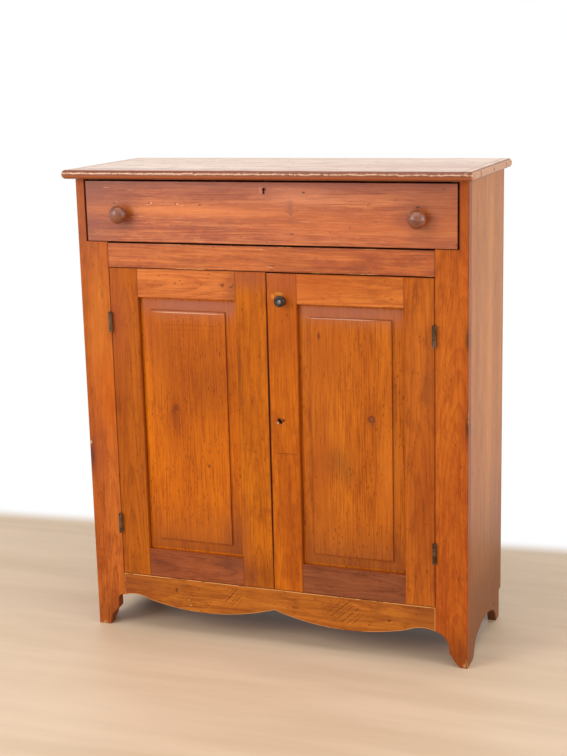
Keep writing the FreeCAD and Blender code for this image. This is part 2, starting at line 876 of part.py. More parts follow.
def hinge_leaf(kind, level, height):
    leaf = frame_leaf if kind == "frame" else door_leaf
    label = f"{kind}_leaf_{level}"
    plate = box(label + "_plate", leaf, (d.leaf_front, d.leaf_width), about(height, d.hinge_length))
    solid = fuse(label + "_blank", plate, *knuckles(label, leaf, leaf_spans(kind), height))
    bore = rod(label + "_bore", "z", d.pin_radius + d.pin_clearance, hinge_axis,
               about(height, d.hinge_length * 2))
    return cut(label, solid, bore, *screw_tools(label + "_hole", kind, level, height, d.pin_clearance))


right_frame_leaves = keep(group("hinge_leaves_right", [
    hinge_leaf("frame", level, height) for level, height in hinge_heights.items()]))
keep(mirror("hinge_leaves_left", right_frame_leaves))
right_door_leaves = keep(group("right_door_leaves", [
    hinge_leaf("door", level, height) for level, height in hinge_heights.items()]))
keep(mirror("left_door_leaves", right_door_leaves))


def with_left_copies(solids):
    return solids + [mirror(solid.Name + "_left", solid) for solid in solids]


def screws(kind):
    return [screw for level, height in hinge_heights.items()
            for screw in screw_tools(kind + "_screw", kind, level, height)]


keep(group("hinge_pins", with_left_copies([
    rod(f"hinge_pin_{level}", "z", d.pin_radius, hinge_axis, about(height, d.hinge_length))
    for level, height in hinge_heights.items()
])))
keep(group("hinge_screws", with_left_copies(screws("frame"))))
door_screws = keep(group("right_door_screws", screws("door")))
keep(mirror("left_door_screws", door_screws))

# ---- doors: mortised frames round a raised panel, both built in the right-hand place

door_hinge_edge = stile_inner - d.door_hinge_gap
door_bottom = d.skirt_top + d.door_bottom_gap
tongue_y = (d.panel_tongue_front, d.panel_tongue_front + d.panel_tongue)
groove_y = (tongue_y[0] - d.joint_clearance, tongue_y[1] + d.joint_clearance)


def rail_with_tenons(label, x, z, groove_z):
    """A rail between the stiles, with a tenon at each end and a groove for the panel."""
    rail = box(label + "_rail", x, (0, d.door_thick), z)
    tenon = box(label + "_tenons", (x[0] - d.tenon_length, x[1] + d.tenon_length), tenon_y,
                (z[0] + d.tenon_shoulder, z[1] - d.tenon_shoulder))
    groove = box(label + "_groove", x, groove_y, groove_z)
    return cut(label, fuse(label + "_blank", rail, tenon), groove)


def stile_with_mortises(label, x, z, inner, outward, rails, *extra):
    """A stile with a groove and a mortise for each rail, cut towards +X where outward is 1."""
    deep = inner + (d.tenon_length + d.joint_clearance) * outward
    grooved = inner + d.groove_depth * outward
    cutters = [
        box(f"{label}_mortise_{index}", low_first(inner, deep), mortise_y,
            (low + d.tenon_shoulder - d.joint_clearance, high - d.tenon_shoulder + d.joint_clearance))
        for index, (low, high) in enumerate(rails)
    ]
    groove_z = (rails[0][1] - d.groove_depth, rails[1][0] + d.groove_depth)
    cutters.append(box(label + "_groove", low_first(inner, grooved), groove_y, groove_z))
    return cut(label, box(label + "_blank", x, (0, d.door_thick), z), *cutters, *extra)


def low_first(first, second):
    return (first, second) if first.number < second.number else (second, first)


def raised_panel(label, x, z):
    """A panel with a flat field, a small step round it and a bevel down to the tongue."""
    field_x = (x[0] + d.panel_margin, x[1] - d.panel_margin)
    field_z = (z[0] + d.panel_margin, z[1] - d.panel_margin)
    reach = d.panel_tongue_reach
    tongue = box(label + "_tongue", (x[0] - reach, x[1] + reach), tongue_y, (z[0] - reach, z[1] + reach))
    field = box(label + "_field", field_x, (d.panel_field_front, d.panel_bevel_front), field_z)
    bevel = doc.addObject("Part::Wedge", label + "_bevel")
    bind(bevel, Ymin=d.panel_bevel_front, Ymax=d.panel_tongue_front,
         Xmin=field_x[0], Xmax=field_x[1], Zmin=field_z[0], Zmax=field_z[1],
         X2min=x[0], X2max=x[1], Z2min=z[0], Z2max=z[1])
    return fuse(label, tongue, field, place(bevel))


def door(side, meeting_edge, extra_meeting_cuts):
    """The five pieces of a door in right-hand place, as a dictionary from name to solid."""
    top = rail_bottom - getattr(d, f"{side}_door_top_gap")
    opening_x = (meeting_edge + getattr(d, f"{side}_meeting_stile_width"),
                 door_hinge_edge - getattr(d, f"{side}_hinge_stile_width"))
    bottom_rail = (door_bottom, door_bottom + d.door_bottom_rail_height)
    top_rail = (top - getattr(d, f"{side}_top_rail_height"), top)
    rails = (bottom_rail, top_rail)
    height = (door_bottom, top)
    gains = hinge_gains(f"{side}_door", door_leaf[0], door_hinge_edge + d.leaf_thick)
    name = f"{side}_door_" if side == "right" else "left_pattern_"
    return {
        "hinge_stile": stile_with_mortises(
            name + "hinge_stile", (opening_x[1], door_hinge_edge), height, opening_x[1], 1, rails, *gains),
        "meeting_stile": stile_with_mortises(
            name + "meeting_stile", (meeting_edge, opening_x[0]), height, opening_x[0], -1, rails,
            *extra_meeting_cuts),
        "top_rail": rail_with_tenons(name + "top_rail", opening_x, top_rail,
                                     (top_rail[0], top_rail[0] + d.groove_depth)),
        "bottom_rail": rail_with_tenons(name + "bottom_rail", opening_x, bottom_rail,
                                        (bottom_rail[1] - d.groove_depth, bottom_rail[1])),
        "panel": raised_panel(name + "panel", opening_x, (bottom_rail[1], top_rail[0])),
    }


# ---- door lock, in a recess in the back of the right meeting stile

right_meeting_edge = d.meeting_offset + d.meeting_gap / 2
left_meeting_edge = d.meeting_offset - d.meeting_gap / 2
keyhole_x = right_meeting_edge + d.door_lock_backset
door_lock_height = d.skirt_top + d.door_lock_rise
door_bolt_tip = right_meeting_edge + d.bolt_clearance
door_bolt_end = door_bolt_tip + d.door_bolt_length
chamber_y = (bolt_y[0] - d.bolt_clearance, bolt_y[1] + d.bolt_clearance)


def door_keyhole(label):
    """A keyhole worn to an uneven diamond, cut through the stile and into the lock case."""
    body = new_body(label)
    wide, long = d.door_keyhole_width / 2, d.door_keyhole_length / 2
    outline = [(keyhole_x + wide * across, door_lock_height + long * up) for across, up in WORN_CORNERS]
    pad(body, draw(body, "XZ_Plane", outline, d.lock_wall), d.lock_wall + bolt_y[0], backwards=True)
    return place(body)


def door_lock_block(label, clearance):
    return box(label, (right_meeting_edge - clearance, right_meeting_edge + d.door_lock_width + clearance),
               (d.lock_wall, d.door_thick + clearance),
               about(door_lock_height, d.door_lock_length + size(clearance) * 2))


door_chamber = box("door_lock_chamber",
                   (right_meeting_edge - d.bolt_clearance, door_bolt_end + d.bolt_clearance), chamber_y,
                   about(door_lock_height, d.door_bolt_height + d.bolt_clearance * 2))
keep(cut("door_lock_case", door_lock_block("door_lock_body", 0), door_chamber, door_keyhole("lock_keyhole")))
keep(box("door_lock_bolt", (door_bolt_tip, door_bolt_end), bolt_y,
         about(door_lock_height, d.door_bolt_height)))

catch_x, catch_height = right_meeting_edge + d.catch_backset, rail_bottom - d.catch_drop
catch_axis = (catch_x, catch_height)
spindle_bore = rod("spindle_bore", "y", d.spindle_radius + d.spindle_clearance, catch_axis,
                   about(0, d.door_thick * 4))
lock_cuts = [door_lock_block("door_lock_recess", d.lock_case_clearance), door_keyhole("stile_keyhole")]
for piece in door("right", right_meeting_edge, [*lock_cuts, spindle_bore]).values():
    keep(piece)

socket_end = door_bolt_tip - d.door_bolt_travel - d.bolt_end_gap
left_bolt_mortise = box("left_bolt_mortise", (-right_meeting_edge, -socket_end), bolt_mortise_y,
                        about(door_lock_height, d.door_bolt_height + mortise_margin * 2))
for name, piece in door("left", -left_meeting_edge, [left_bolt_mortise]).items():
    keep(mirror(f"left_door_{name}", piece))

# ---- door knob, spindle and catch bar, which turn together through the right door

catch_y = (d.door_thick + d.catch_gap, d.door_thick + d.catch_gap + d.catch_thick)


def door_knob():
    """A small cast knob with a dished face; its height is counted outward from the door."""
    body = new_body("door_knob_casting")
    foot, neck, rim = d.door_knob_foot_height, d.door_knob_neck_radius, d.door_knob_radius
    rim_bottom, rim_top = d.door_knob_rim_base, d.door_knob_rim_base + d.door_knob_rim
    dish_floor = d.door_knob_projection - d.door_knob_dish
    turn(body, [
        (0, 0),
        (d.door_knob_foot_radius, 0),
        (d.door_knob_foot_radius, foot, foot * 2, -1),
        (neck, foot * 2),
        (neck, rim_bottom - foot, d.door_knob_flare_radius, -1),
        (rim, rim_bottom + d.door_knob_dish, d.door_knob_rim, 1),
        (rim, rim_top, d.door_knob_rim, 1),
        (d.door_knob_dish_radius, d.door_knob_projection),
        (d.door_knob_dish_radius - d.door_knob_dish, dish_floor),
        (0, dish_floor),
    ])
    body.Placement.Rotation = FreeCAD.Rotation(FreeCAD.Vector(1, 0, 0), 90)
    place(body, catch_x, -d.door_knob_gap, catch_height)
    bore = rod("door_knob_bore", "y", d.spindle_radius + d.spindle_clearance, catch_axis,
               (-d.spindle_reach_in_knob - d.spindle_clearance, d.spindle_reach_in_knob))
    return keep(cut("door_knob", body, bore))


door_knob()
spindle = rod("spindle_rod", "y", d.spindle_radius, catch_axis, (-d.spindle_reach_in_knob, catch_y[1]))
rivet = rod("spindle_rivet", "y", d.rivet_radius, catch_axis, (catch_y[1], catch_y[1] + d.rivet_thick))
keep(fuse("knob_spindle", spindle, rivet))
catch_arm = box("catch_arm", about(catch_x, d.catch_width), catch_y,
                (catch_height - d.catch_length, catch_height))
catch_hub = rod("catch_hub", "y", d.catch_hub_radius, catch_axis, catch_y)
catch_bore = rod("catch_bore", "y", d.spindle_radius + d.spindle_clearance, catch_axis, (0, d.door_thick * 2))
keep(cut("catch_bar", fuse("catch_blank", catch_arm, catch_hub), catch_bore))

# ---- slide bolt inside the left door, which catches behind the front rail

slide_y = d.frame_thick + d.slide_bolt_rail_gap + d.slide_bolt_radius
slide_top = rail_bottom - d.slide_bolt_drop
slide_bottom = slide_top - d.slide_bolt_length
plate_top = slide_top - d.slide_plate_drop
plate_bottom = plate_top - d.slide_plate_length
slide_bolt_x = left_meeting_edge - d.slide_bolt_backset
plate_x = about(slide_bolt_x, d.slide_plate_width)
staple_y = (d.door_thick, slide_y + d.slide_bolt_radius + d.staple_wall)
upper_staple = plate_top - d.staple_height * 2
lower_staple = plate_bottom + d.staple_height
thumb_height = upper_staple - d.slide_bolt_travel - d.bolt_end_gap - d.bolt_thumb_radius
slide_axis = (slide_bolt_x, slide_y)

backplate = box("slide_backplate", plate_x, (d.door_thick, d.door_thick + d.slide_plate_thick),
                (plate_bottom, plate_top))
staples = [
    box(f"slide_staple_{index}", plate_x, staple_y, (low, low + d.staple_height))
    for index, low in enumerate((lower_staple, upper_staple))
]
slide_bore = rod("slide_bore", "z", d.slide_bolt_radius + d.pin_clearance, slide_axis,
                 (plate_bottom - d.staple_height, plate_top + d.staple_height))
keep(cut("slide_bolt_plate", fuse("slide_plate_blank", backplate, *staples), slide_bore))
bolt_rod = rod("slide_bolt_rod", "z", d.slide_bolt_radius, slide_axis, (slide_bottom, slide_top))
thumb = rod("slide_bolt_thumb", "y", d.bolt_thumb_radius, (slide_bolt_x, thumb_height),
            (slide_y, slide_y + d.slide_bolt_radius + d.bolt_thumb_length))
keep(fuse("slide_bolt", bolt_rod, thumb))

# ---- drawer: dovetailed at the front, its bottom in grooves

drawer_half = side_inner - d.drawer_side_gap
drawer_inner = drawer_half - d.drawer_side_thick
knob_places = {"left": d.left_knob_inset - drawer_half, "right": drawer_half - d.right_knob_inset}
knob_height = drawer_base + d.knob_rise
keyhole_height = drawer_top - d.drawer_keyhole_drop
bottom_low = drawer_base + d.drawer_bottom_lift
bottom_z = (bottom_low, bottom_low + d.drawer_bottom_thick)
bottom_groove_z = (bottom_z[0] - d.drawer_groove_clearance, bottom_z[1] + d.drawer_groove_clearance)
side_groove_x = drawer_inner + d.drawer_groove_depth
front_groove_y = d.drawer_front_thick - d.drawer_groove_depth
drawer_side_top = drawer_top - d.drawer_side_drop
tail_pitch = (drawer_side_top - drawer_base) / TAILS
first_tail = drawer_base + tail_pitch / 2


def tail_outline(grow):
    """One dovetail seen from the side: wide at its tip, narrow at the shoulder."""
    tip, root = d.tail_lap - grow, d.drawer_front_thick
    wide, narrow = d.tail_wide / 2 + grow, d.tail_narrow / 2 + grow
    return [
        (tip, first_tail - wide),
        (root, first_tail - narrow),
        (root, first_tail + narrow),
        (tip, first_tail + wide),
    ]


def repeat_up(body, feature, name):
    """Repeats a feature upward, once for each dovetail."""
    doc.recompute()
    pattern = body.newObject("PartDesign::LinearPattern", name)
    pattern.Originals = [feature]
    pattern.Direction = (origin_plane(body, "Z_Axis"), [""])
    pattern.Occurrences = TAILS
    bind(pattern, Length=tail_pitch * (TAILS - 1))
    body.Tip = pattern
    return pattern


def drawer_side():
    body = new_body("drawer_side_board")
    outline = [
        (d.drawer_front_thick, drawer_base),
        (drawer_back, drawer_base),
        (drawer_back, drawer_side_top),
        (d.drawer_front_thick, drawer_side_top),
    ]
    pad(body, draw(body, "YZ_Plane", outline, drawer_inner), d.drawer_side_thick)
    tail = pad(body, draw(body, "YZ_Plane", tail_outline(0), drawer_inner), d.drawer_side_thick)
    repeat_up(body, tail, "drawer_tails")
    groove = box("drawer_side_groove", (drawer_inner - d.drawer_groove_depth, side_groove_x),
                 (0, drawer_back * 2), bottom_groove_z)
    return keep(cut("drawer_side_right", place(body), groove))


def drawer_front():
    body = new_body("drawer_front_board")
    outline = [
        (-drawer_half, drawer_base),
        (drawer_half, drawer_base),
        (drawer_half, drawer_top),
        (-drawer_half, drawer_top),
    ]
    pad(body, draw(body, "XZ_Plane", outline), d.drawer_front_thick, backwards=True)
    ends = ((drawer_inner - d.tail_clearance, False), (-drawer_inner + d.tail_clearance, True))
    for start, leftward in ends:
        socket = pocket(body, draw(body, "YZ_Plane", tail_outline(d.tail_clearance), start),
                        d.drawer_side_thick * 2, backwards=not leftward)
        repeat_up(body, socket, "drawer_sockets")
    knob_bores = [
        rod(f"knob_bore_{side}", "y", d.knob_tenon_radius + d.knob_tenon_clearance, (x, knob_height),
            (-d.drawer_front_thick, d.drawer_front_thick * 2))
        for side, x in knob_places.items()
    ]
    groove = box("drawer_front_groove", (-side_groove_x, side_groove_x),
                 (front_groove_y, d.drawer_front_thick * 2), bottom_groove_z)
    recess = drawer_lock_block("drawer_lock_recess", d.lock_case_clearance)
    keyhole = drawer_keyhole("front_keyhole")
    return keep(cut("drawer_front", place(body), groove, *knob_bores, recess, keyhole))


def drawer_lock_block(label, clearance):
    return box(label, about(d.drawer_lock_x, d.drawer_lock_width + size(clearance) * 2),
               (d.lock_wall, d.drawer_front_thick + clearance),
               (drawer_top - d.drawer_lock_height - clearance, drawer_top + clearance))


def drawer_keyhole(label):
    """A round hole over a narrow slot."""
    radius = d.drawer_keyhole_radius
    depth = (-d.lock_wall, bolt_y[0])
    eye = rod(label + "_eye", "y", radius, (d.drawer_lock_x, keyhole_height), depth)
    slot = box(label + "_slot", about(d.drawer_lock_x, d.drawer_keyhole_width), depth,
               (keyhole_height - d.drawer_keyhole_slot, keyhole_height))
    return fuse(label, eye, slot)


drawer_bolt_z = (drawer_bolt_top - d.drawer_bolt_length, drawer_bolt_top)
drawer_chamber = box("drawer_lock_chamber",
                     about(d.drawer_lock_x, d.drawer_bolt_width + d.bolt_clearance * 2), chamber_y,
                     (drawer_bolt_z[0] - d.bolt_clearance, drawer_top + d.bolt_clearance))

drawer_front()
keep(mirror("drawer_side_left", drawer_side()))
keep(box("drawer_back", (-drawer_inner, drawer_inner),
         (drawer_back - d.drawer_side_thick, drawer_back),
         (bottom_z[1], drawer_side_top - d.drawer_back_drop)))
bottom_reach = d.drawer_groove_depth - d.drawer_groove_clearance
keep(box("drawer_bottom", (-drawer_inner - bottom_reach, drawer_inner + bottom_reach),
         (d.drawer_front_thick - bottom_reach, drawer_back), bottom_z))
keep(cut("drawer_lock_case", drawer_lock_block("drawer_lock_body", 0), drawer_chamber,
         drawer_keyhole("case_keyhole")))
keep(box("drawer_lock_bolt", about(d.drawer_lock_x, d.drawer_bolt_width), bolt_y, drawer_bolt_z))


def drawer_knob(side, x):
    """A turned mushroom knob whose tenon goes through the drawer front."""
    body = new_body(f"drawer_knob_{side}")
    base = d.knob_tenon_length
    dome_height = d.knob_projection - d.knob_head_base
    half_chord = d.knob_head_radius
    dome_radius = (half_chord * half_chord + dome_height * dome_height) / (dome_height * 2)
    turn(body, [
        (0, 0),
        (d.knob_tenon_radius, 0),
        (d.knob_tenon_radius, base),
        (d.knob_foot_radius, base),
        (d.knob_foot_radius, base + d.knob_foot_height, d.knob_neck_height, -1),
        (d.knob_neck_radius, base + d.knob_neck_height, d.knob_undercut_radius, -1),
        (d.knob_head_radius, base + d.knob_head_base, dome_radius, 1),
        (0, base + d.knob_projection),
    ])
    body.Placement.Rotation = FreeCAD.Rotation(FreeCAD.Vector(1, 0, 0), 90)
    return keep(place(body, x, d.knob_tenon_length, knob_height))


for side, x in knob_places.items():
    drawer_knob(side, x)

# ---- check and export

doc.recompute()
failed = [thing.Name for thing in doc.Objects if {"Invalid", "Error"} & set(thing.State)]
if failed:
    raise RuntimeError("objects that failed: " + ", ".join(failed))
os.makedirs("parts", exist_ok=True)
for piece in pieces:
    if piece.Shape.isNull() or not piece.Shape.isValid() or not piece.Shape.Solids:
        raise RuntimeError("no valid solid in " + piece.Label)
    piece.Shape.exportStep(f"parts/{piece.Label}.step")
    bounds = piece.Shape.BoundBox
    print(f"{piece.Label:28s} solids {len(piece.Shape.Solids):3d}  volume {piece.Shape.Volume:12.0f}  "
          f"x {bounds.XMin:7.1f} {bounds.XMax:7.1f}  y {bounds.YMin:7.1f} {bounds.YMax:7.1f}  "
          f"z {bounds.ZMin:7.1f} {bounds.ZMax:7.1f}")
print(len(pieces), "nodes")
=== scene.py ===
# A country pine jelly cupboard: one wide drawer over two framed doors with raised panels, standing on
# feet that are cut from its face frame and its side boards. Orange pine under old shellac, iron butt
# hinges, turned knobs. The sections follow the cupboard as it is put together.
import bmesh
import bpy
import math
from mathutils import Matrix, Vector


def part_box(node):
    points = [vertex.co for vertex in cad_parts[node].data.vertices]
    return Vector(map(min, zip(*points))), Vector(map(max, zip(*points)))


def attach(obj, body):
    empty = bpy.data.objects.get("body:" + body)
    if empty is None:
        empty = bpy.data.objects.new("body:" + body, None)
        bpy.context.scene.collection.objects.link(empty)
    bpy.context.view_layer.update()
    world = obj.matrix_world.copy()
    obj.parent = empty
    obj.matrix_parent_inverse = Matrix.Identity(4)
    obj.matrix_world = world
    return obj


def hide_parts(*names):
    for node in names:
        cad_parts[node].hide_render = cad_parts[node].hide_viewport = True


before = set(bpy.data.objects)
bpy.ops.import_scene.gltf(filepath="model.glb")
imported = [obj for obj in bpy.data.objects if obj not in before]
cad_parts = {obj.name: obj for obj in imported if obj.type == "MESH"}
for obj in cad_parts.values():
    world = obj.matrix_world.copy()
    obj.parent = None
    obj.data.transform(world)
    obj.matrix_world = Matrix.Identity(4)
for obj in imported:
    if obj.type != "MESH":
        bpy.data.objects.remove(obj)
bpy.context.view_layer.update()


# ---- The room --------------------------------------------------------------------------------------
# A pale floor that runs out to white, soft light from the front, the left and above, and the eye a few
# steps away to the left of the cupboard's front right corner.

def shade(red, green, blue):
    """A colour as a paint card gives it, in the linear numbers that a shader works in."""
    linear = []
    for part in (red, green, blue):
        part = part / 255
        linear.append(part / 12.92 if part <= 0.04045 else ((part + 0.055) / 1.055) ** 2.4)
    return (*linear, 1.0)


class Reading:
    """A number read off each point of a surface; patterns are sums of readings."""

    def __init__(self, tree, socket):
        self.tree = tree
        self.socket = socket

    def work(self, operation, first, second=None, third=None, clamp=False):
        step = {"operation": operation, "use_clamp": clamp}
        return Reading(self.tree, added(self.tree, "ShaderNodeMath", 0, step, _0=first, _1=second, _2=third))

    def __add__(self, other):
        return self.work("ADD", self, other)

    def __sub__(self, other):
        return self.work("SUBTRACT", self, other)

    def __rsub__(self, other):
        return self.work("SUBTRACT", other, self)

    def __mul__(self, other):
        return self.work("MULTIPLY", self, other)

    def __truediv__(self, other):
        return self.work("DIVIDE", self, other)

    def __pow__(self, other):
        return self.work("POWER", self, other)

    def size(self):
        return self.work("ABSOLUTE", self)

    def part(self):
        return self.work("FRACT", self)

    def capped(self):
        return self.work("ADD", self, 0.0, clamp=True)

    def most(self, other):
        return self.work("MAXIMUM", self, other)

    def root(self):
        return self.work("SQRT", self)

    def fading(self):
        """1 where the reading is nought, falling away like a bell to nought."""
        return self.work("EXPONENT", self * self * -1.0)

    def rise(self, low, high):
        """0 below low, 1 above high, and a soft step between."""
        soft = {"interpolation_type": "SMOOTHSTEP"}
        return Reading(self.tree, added(self.tree, "ShaderNodeMapRange", "Result", soft, Value=self,
                                        From_Min=low, From_Max=high))


def fed(tree, node, **inputs):
    """Gives a step's inputs readings, other steps' outputs, paint card colours or numbers. An underscore
    stands for a space, and a number is an input's place."""
    for label, value in inputs.items():
        label = label.replace("_", " ").strip()
        socket = node.inputs[int(label)] if label.isdigit() else node.inputs[label]
        if isinstance(value, Reading):
            value = value.socket
        if isinstance(value, bpy.types.NodeSocket):
            tree.links.new(value, socket)
        elif value is not None:
            socket.default_value = shade(*value) if socket.type == "RGBA" and len(value) == 3 else value
    return node


def added(tree, kind, output=0, settings=None, **inputs):
    """A new step in a tree, known by what comes out of it."""
    node = tree.nodes.new(kind)
    for label, value in (settings or {}).items():
        setattr(node, label, value)
    return fed(tree, node, **inputs).outputs[output]


def split(tree, socket):
    """The three readings of a place or a direction."""
    return [Reading(tree, output) for output in added(tree, "ShaderNodeSeparateXYZ", _0=socket).node.outputs]


def joined(tree, x, y, z):
    """A place made of three readings or numbers."""
    return added(tree, "ShaderNodeCombineXYZ", X=x, Y=y, Z=z)


def clouds(tree, place, detail=2.0, rough=0.5, scale=1.0):
    """A cloudy reading from 0 to 1."""
    return Reading(tree, added(tree, "ShaderNodeTexNoise", "Fac", Vector=place, Scale=scale, Detail=detail,
                               Roughness=rough))


def tinted(tree, amount, under, over):
    """One colour laid over another, as strongly as the amount says."""
    return added(tree, "ShaderNodeMix", 2, {"data_type": "RGBA"}, _0=amount, _6=under, _7=over)


def new_finish(name):
    """A finish to work on: the material, its tree, and what is known of each point."""
    finish = bpy.data.materials.new(name)
    finish.use_nodes = True
    tree = finish.node_tree
    return finish, tree, tree.nodes.new("ShaderNodeTexCoord").outputs


scene = bpy.context.scene
scene.view_settings.view_transform = "Standard"

eye = (1.23139, -3.29016, 1.43494)
turn, dip, lean = 0.3636723, 0.2205414, -0.0250928
ahead = Vector((-math.sin(turn) * math.cos(dip), math.cos(turn) * math.cos(dip), -math.sin(dip)))
level = Vector((math.cos(turn), math.sin(turn), 0.0))
upright = level.cross(ahead)
right = math.cos(lean) * level + math.sin(lean) * upright
up = math.cos(lean) * upright - math.sin(lean) * level
lens = bpy.data.cameras.new("camera")
lens.lens = 68.229
lens.sensor_width = 36
camera = bpy.data.objects.new("camera", lens)
scene.collection.objects.link(camera)
camera.matrix_world = Matrix.Translation(eye) @ Matrix((right, up, -ahead)).transposed().to_4x4()
scene.camera = camera


def looked_at(tree):
    """1 for what the eye sees straight on, mirrored or through glass, and 0 for the light itself."""
    rays = tree.nodes.new("ShaderNodeLightPath")
    straight = Reading(tree, rays.outputs["Is Camera Ray"])
    return straight.most(Reading(tree, rays.outputs["Is Glossy Ray"])).most(
        Reading(tree, rays.outputs["Is Transmission Ray"]))


world = bpy.data.worlds.new("room")
world.use_nodes = True
scene.world = world
fed(world.node_tree, world.node_tree.nodes["Background"], Color=(255, 255, 255),
    Strength=looked_at(world.node_tree) * 0.36 + 0.64)


def softbox(name, place, aim, width, height, power, colour):
    """A soft lamp as a photographer sets one up: a lit square of cloth, turned to what it lights."""
    light = bpy.data.lights.new(name, "AREA")
    light.shape = "RECTANGLE"
    light.size = width
    light.size_y = height
    light.energy = power
    light.color = colour
    lamp = bpy.data.objects.new(name, light)
    lamp.location = place
    lamp.rotation_euler = (Vector(aim) - Vector(place)).to_track_quat("-Z", "Y").to_euler()
    scene.collection.objects.link(lamp)


softbox("window_left", (-2.0, -2.6, 2.1), (0.0, 0.0, 0.7), 1.6, 1.8, 54, (1.0, 0.98, 0.95))
softbox("window_right", (3.0, -0.6, 1.5), (0.3, 0.0, 0.6), 1.4, 1.6, 30, (1.0, 0.97, 0.94))
softbox("ceiling", (0.2, -0.6, 3.0), (0.0, 0.0, 0.9), 2.2, 1.6, 20, (1.0, 1.0, 1.0))

reach = 9.0
floor_mesh = bpy.data.meshes.new("floor")
floor_mesh.from_pydata([(-reach, -reach, 0), (reach, -reach, 0), (reach, reach, 0), (-reach, reach, 0)], [],
                       [(0, 1, 2, 3)])
floor = bpy.data.objects.new("floor", floor_mesh)
scene.collection.objects.link(floor)
floor_finish, tree, point = new_finish("pale floor")
floor_shader = tree.nodes["Principled BSDF"]
floor_mesh.materials.append(floor_finish)
x, y, z = split(tree, point["Object"])
behind = (y - x * 0.09).rise(0.62, 0.74)
white = behind.most((x * x + y * y).root().rise(2.4, 3.2))
planks = clouds(tree, joined(tree, x * 1.2, y * 9.0, 0.0), 4.0, 0.6)
seen_planks = tinted(tree, planks.rise(0.3, 0.7), (210, 184, 154), (222, 197, 168))
# Painted shade: the floor is darkened under the cupboard and just round it.
painted_under_shade = (1.0 - x.size().rise(0.40, 0.50)) * (1.0 - (y - 0.08).size().rise(0.08, 0.18))
fed(tree, floor_shader, Base_Color=tinted(tree, painted_under_shade * 0.9, seen_planks, (122, 98, 74)), Roughness=0.5)
glow = added(tree, "ShaderNodeEmission", Color=(255, 255, 255))
run_out = added(tree, "ShaderNodeMixShader", _0=white * looked_at(tree), _1=floor_shader.outputs[0], _2=glow)
fed(tree, tree.nodes["Material Output"], Surface=run_out)


# ---- The side boards -------------------------------------------------------------------------------
# Two wide pine boards stand on the floor and are the whole of each side. The foot is left by sawing an
# arch out of the lower end. The right one is a paler, duller tan than the left, and darker towards the
# floor as painted shade.

def effect(name, gives, **takes):
    """An empty effect: its tree, the place it is asked about, its other readings, and where it ends. An
    underscore stands for a space."""
    tree = bpy.data.node_groups.new(name, "ShaderNodeTree")
    tree.interface.new_socket("Place", in_out="INPUT", socket_type="NodeSocketVector")
    for label, start in takes.items():
        label = label.replace("_", " ")
        socket = tree.interface.new_socket(label, in_out="INPUT", socket_type="NodeSocketFloat")
        socket.default_value = start
    for label in gives:
        tree.interface.new_socket(label, in_out="OUTPUT", socket_type="NodeSocketFloat")
    source = tree.nodes.new("NodeGroupInput").outputs
    readings = {label: Reading(tree, source[label.replace("_", " ")]) for label in takes}
    return tree, source["Place"], readings, tree.nodes.new("NodeGroupOutput")


def apply(tree, group, **values):
    """Puts an effect into a material with this material's own values."""
    node = tree.nodes.new("ShaderNodeGroup")
    node.node_tree = group
    return {output.name: Reading(tree, output) for output in fed(tree, node, **values).outputs}


# Place is along the grain, across it and into the board, in metres. The heart is the middle of the tree,
# so its distance sets how flat the rings lie, and the tilt of the log gives a flat-sawn board its arches.
pine_grain, place, takes, gives = effect(
    "pine grain", ("Late Wood", "Fibre", "Tone", "Streak", "Mottle"), Heart_Across=0.0, Heart_Depth=0.05,
    Ring_Gap=0.0045, Tilt=0.02, Wander=0.012, Bend=0.0, Seed=0.0)
along, across, depth = split(pine_grain, place)
across = across + takes["Bend"]
seed = takes["Seed"]
drift = clouds(pine_grain, joined(pine_grain, along * 1.3 + seed, across * 3.0, depth * 3.0 + seed)) - 0.5
sway = clouds(pine_grain, joined(pine_grain, along * 4.0 + seed * 1.7, across * 9.0, depth * 9.0), 1.0) - 0.5
off_side = across - takes["Heart_Across"] + drift * takes["Wander"] * 5.0
off_face = depth - takes["Heart_Depth"]
radius = (off_side * off_side + off_face * off_face).root() + along * takes["Tilt"]
radius = radius + sway * takes["Wander"] * 0.6
rings = radius / takes["Ring_Gap"]
seasons = clouds(pine_grain, joined(pine_grain, rings * 0.21 + seed, seed, 3.7), 1.0) - 0.5
cycle = (rings + seasons * 3.0 + seed).part()
fibre = clouds(pine_grain, joined(pine_grain, along * 9.0 + seed, across * 260.0, depth * 260.0), 4.0, 0.76)
tone = clouds(pine_grain, joined(pine_grain, along * 1.1 + seed, across * 8.0 + seed, depth * 8.0), 3.0, 0.6)
streak = clouds(pine_grain, joined(pine_grain, along * 2.2 + seed, across * 70.0, depth * 70.0), 3.0, 0.6)
mottle = clouds(pine_grain, joined(pine_grain, along * 14.0, across * 38.0 + seed, depth * 38.0), 5.0, 0.74)
fed(pine_grain, gives,
    Late_Wood=cycle ** 3.0 * ((1.0 - cycle) * 9.0).capped(), Fibre=fibre, Tone=tone.rise(0.3, 0.7),
    Streak=streak.rise(0.32, 0.72), Mottle=mottle)

# A spot of any kind that lies at one place on a board: a knot that the grain bends round, or a smudge,
# a stain or a rubbed patch. Its outline is uneven, and the length runs along the grain.
spot, place, takes, gives = effect("spot", ("Bend", "Heart", "Ring", "Halo"), Along=0.0, Across=0.0,
                                   Length=0.01, Breadth=0.01, Raggedness=0.5)
along, across, depth = split(spot, place)
over = (along - takes["Along"]) / takes["Length"]
aside = (across - takes["Across"]) / takes["Breadth"]
outline = joined(spot, over * 1.4, aside * 1.4 + takes["Along"] * 40.0, takes["Across"] * 60.0)
uneven = (clouds(spot, outline, 3.0, 0.6) - 0.5) * takes["Raggedness"]
away = (over * over + aside * aside).root() + uneven
fed(spot, gives,
    Bend=takes["Breadth"] * -1.3 * (aside / (aside.size() + 0.6)) * (away * 0.42).fading(),
    Heart=1.0 - away.rise(0.7, 1.1),
    Ring=(away - 1.02).work("MULTIPLY", away - 1.02, 3.4).fading(),
    Halo=(away * 0.55).fading())

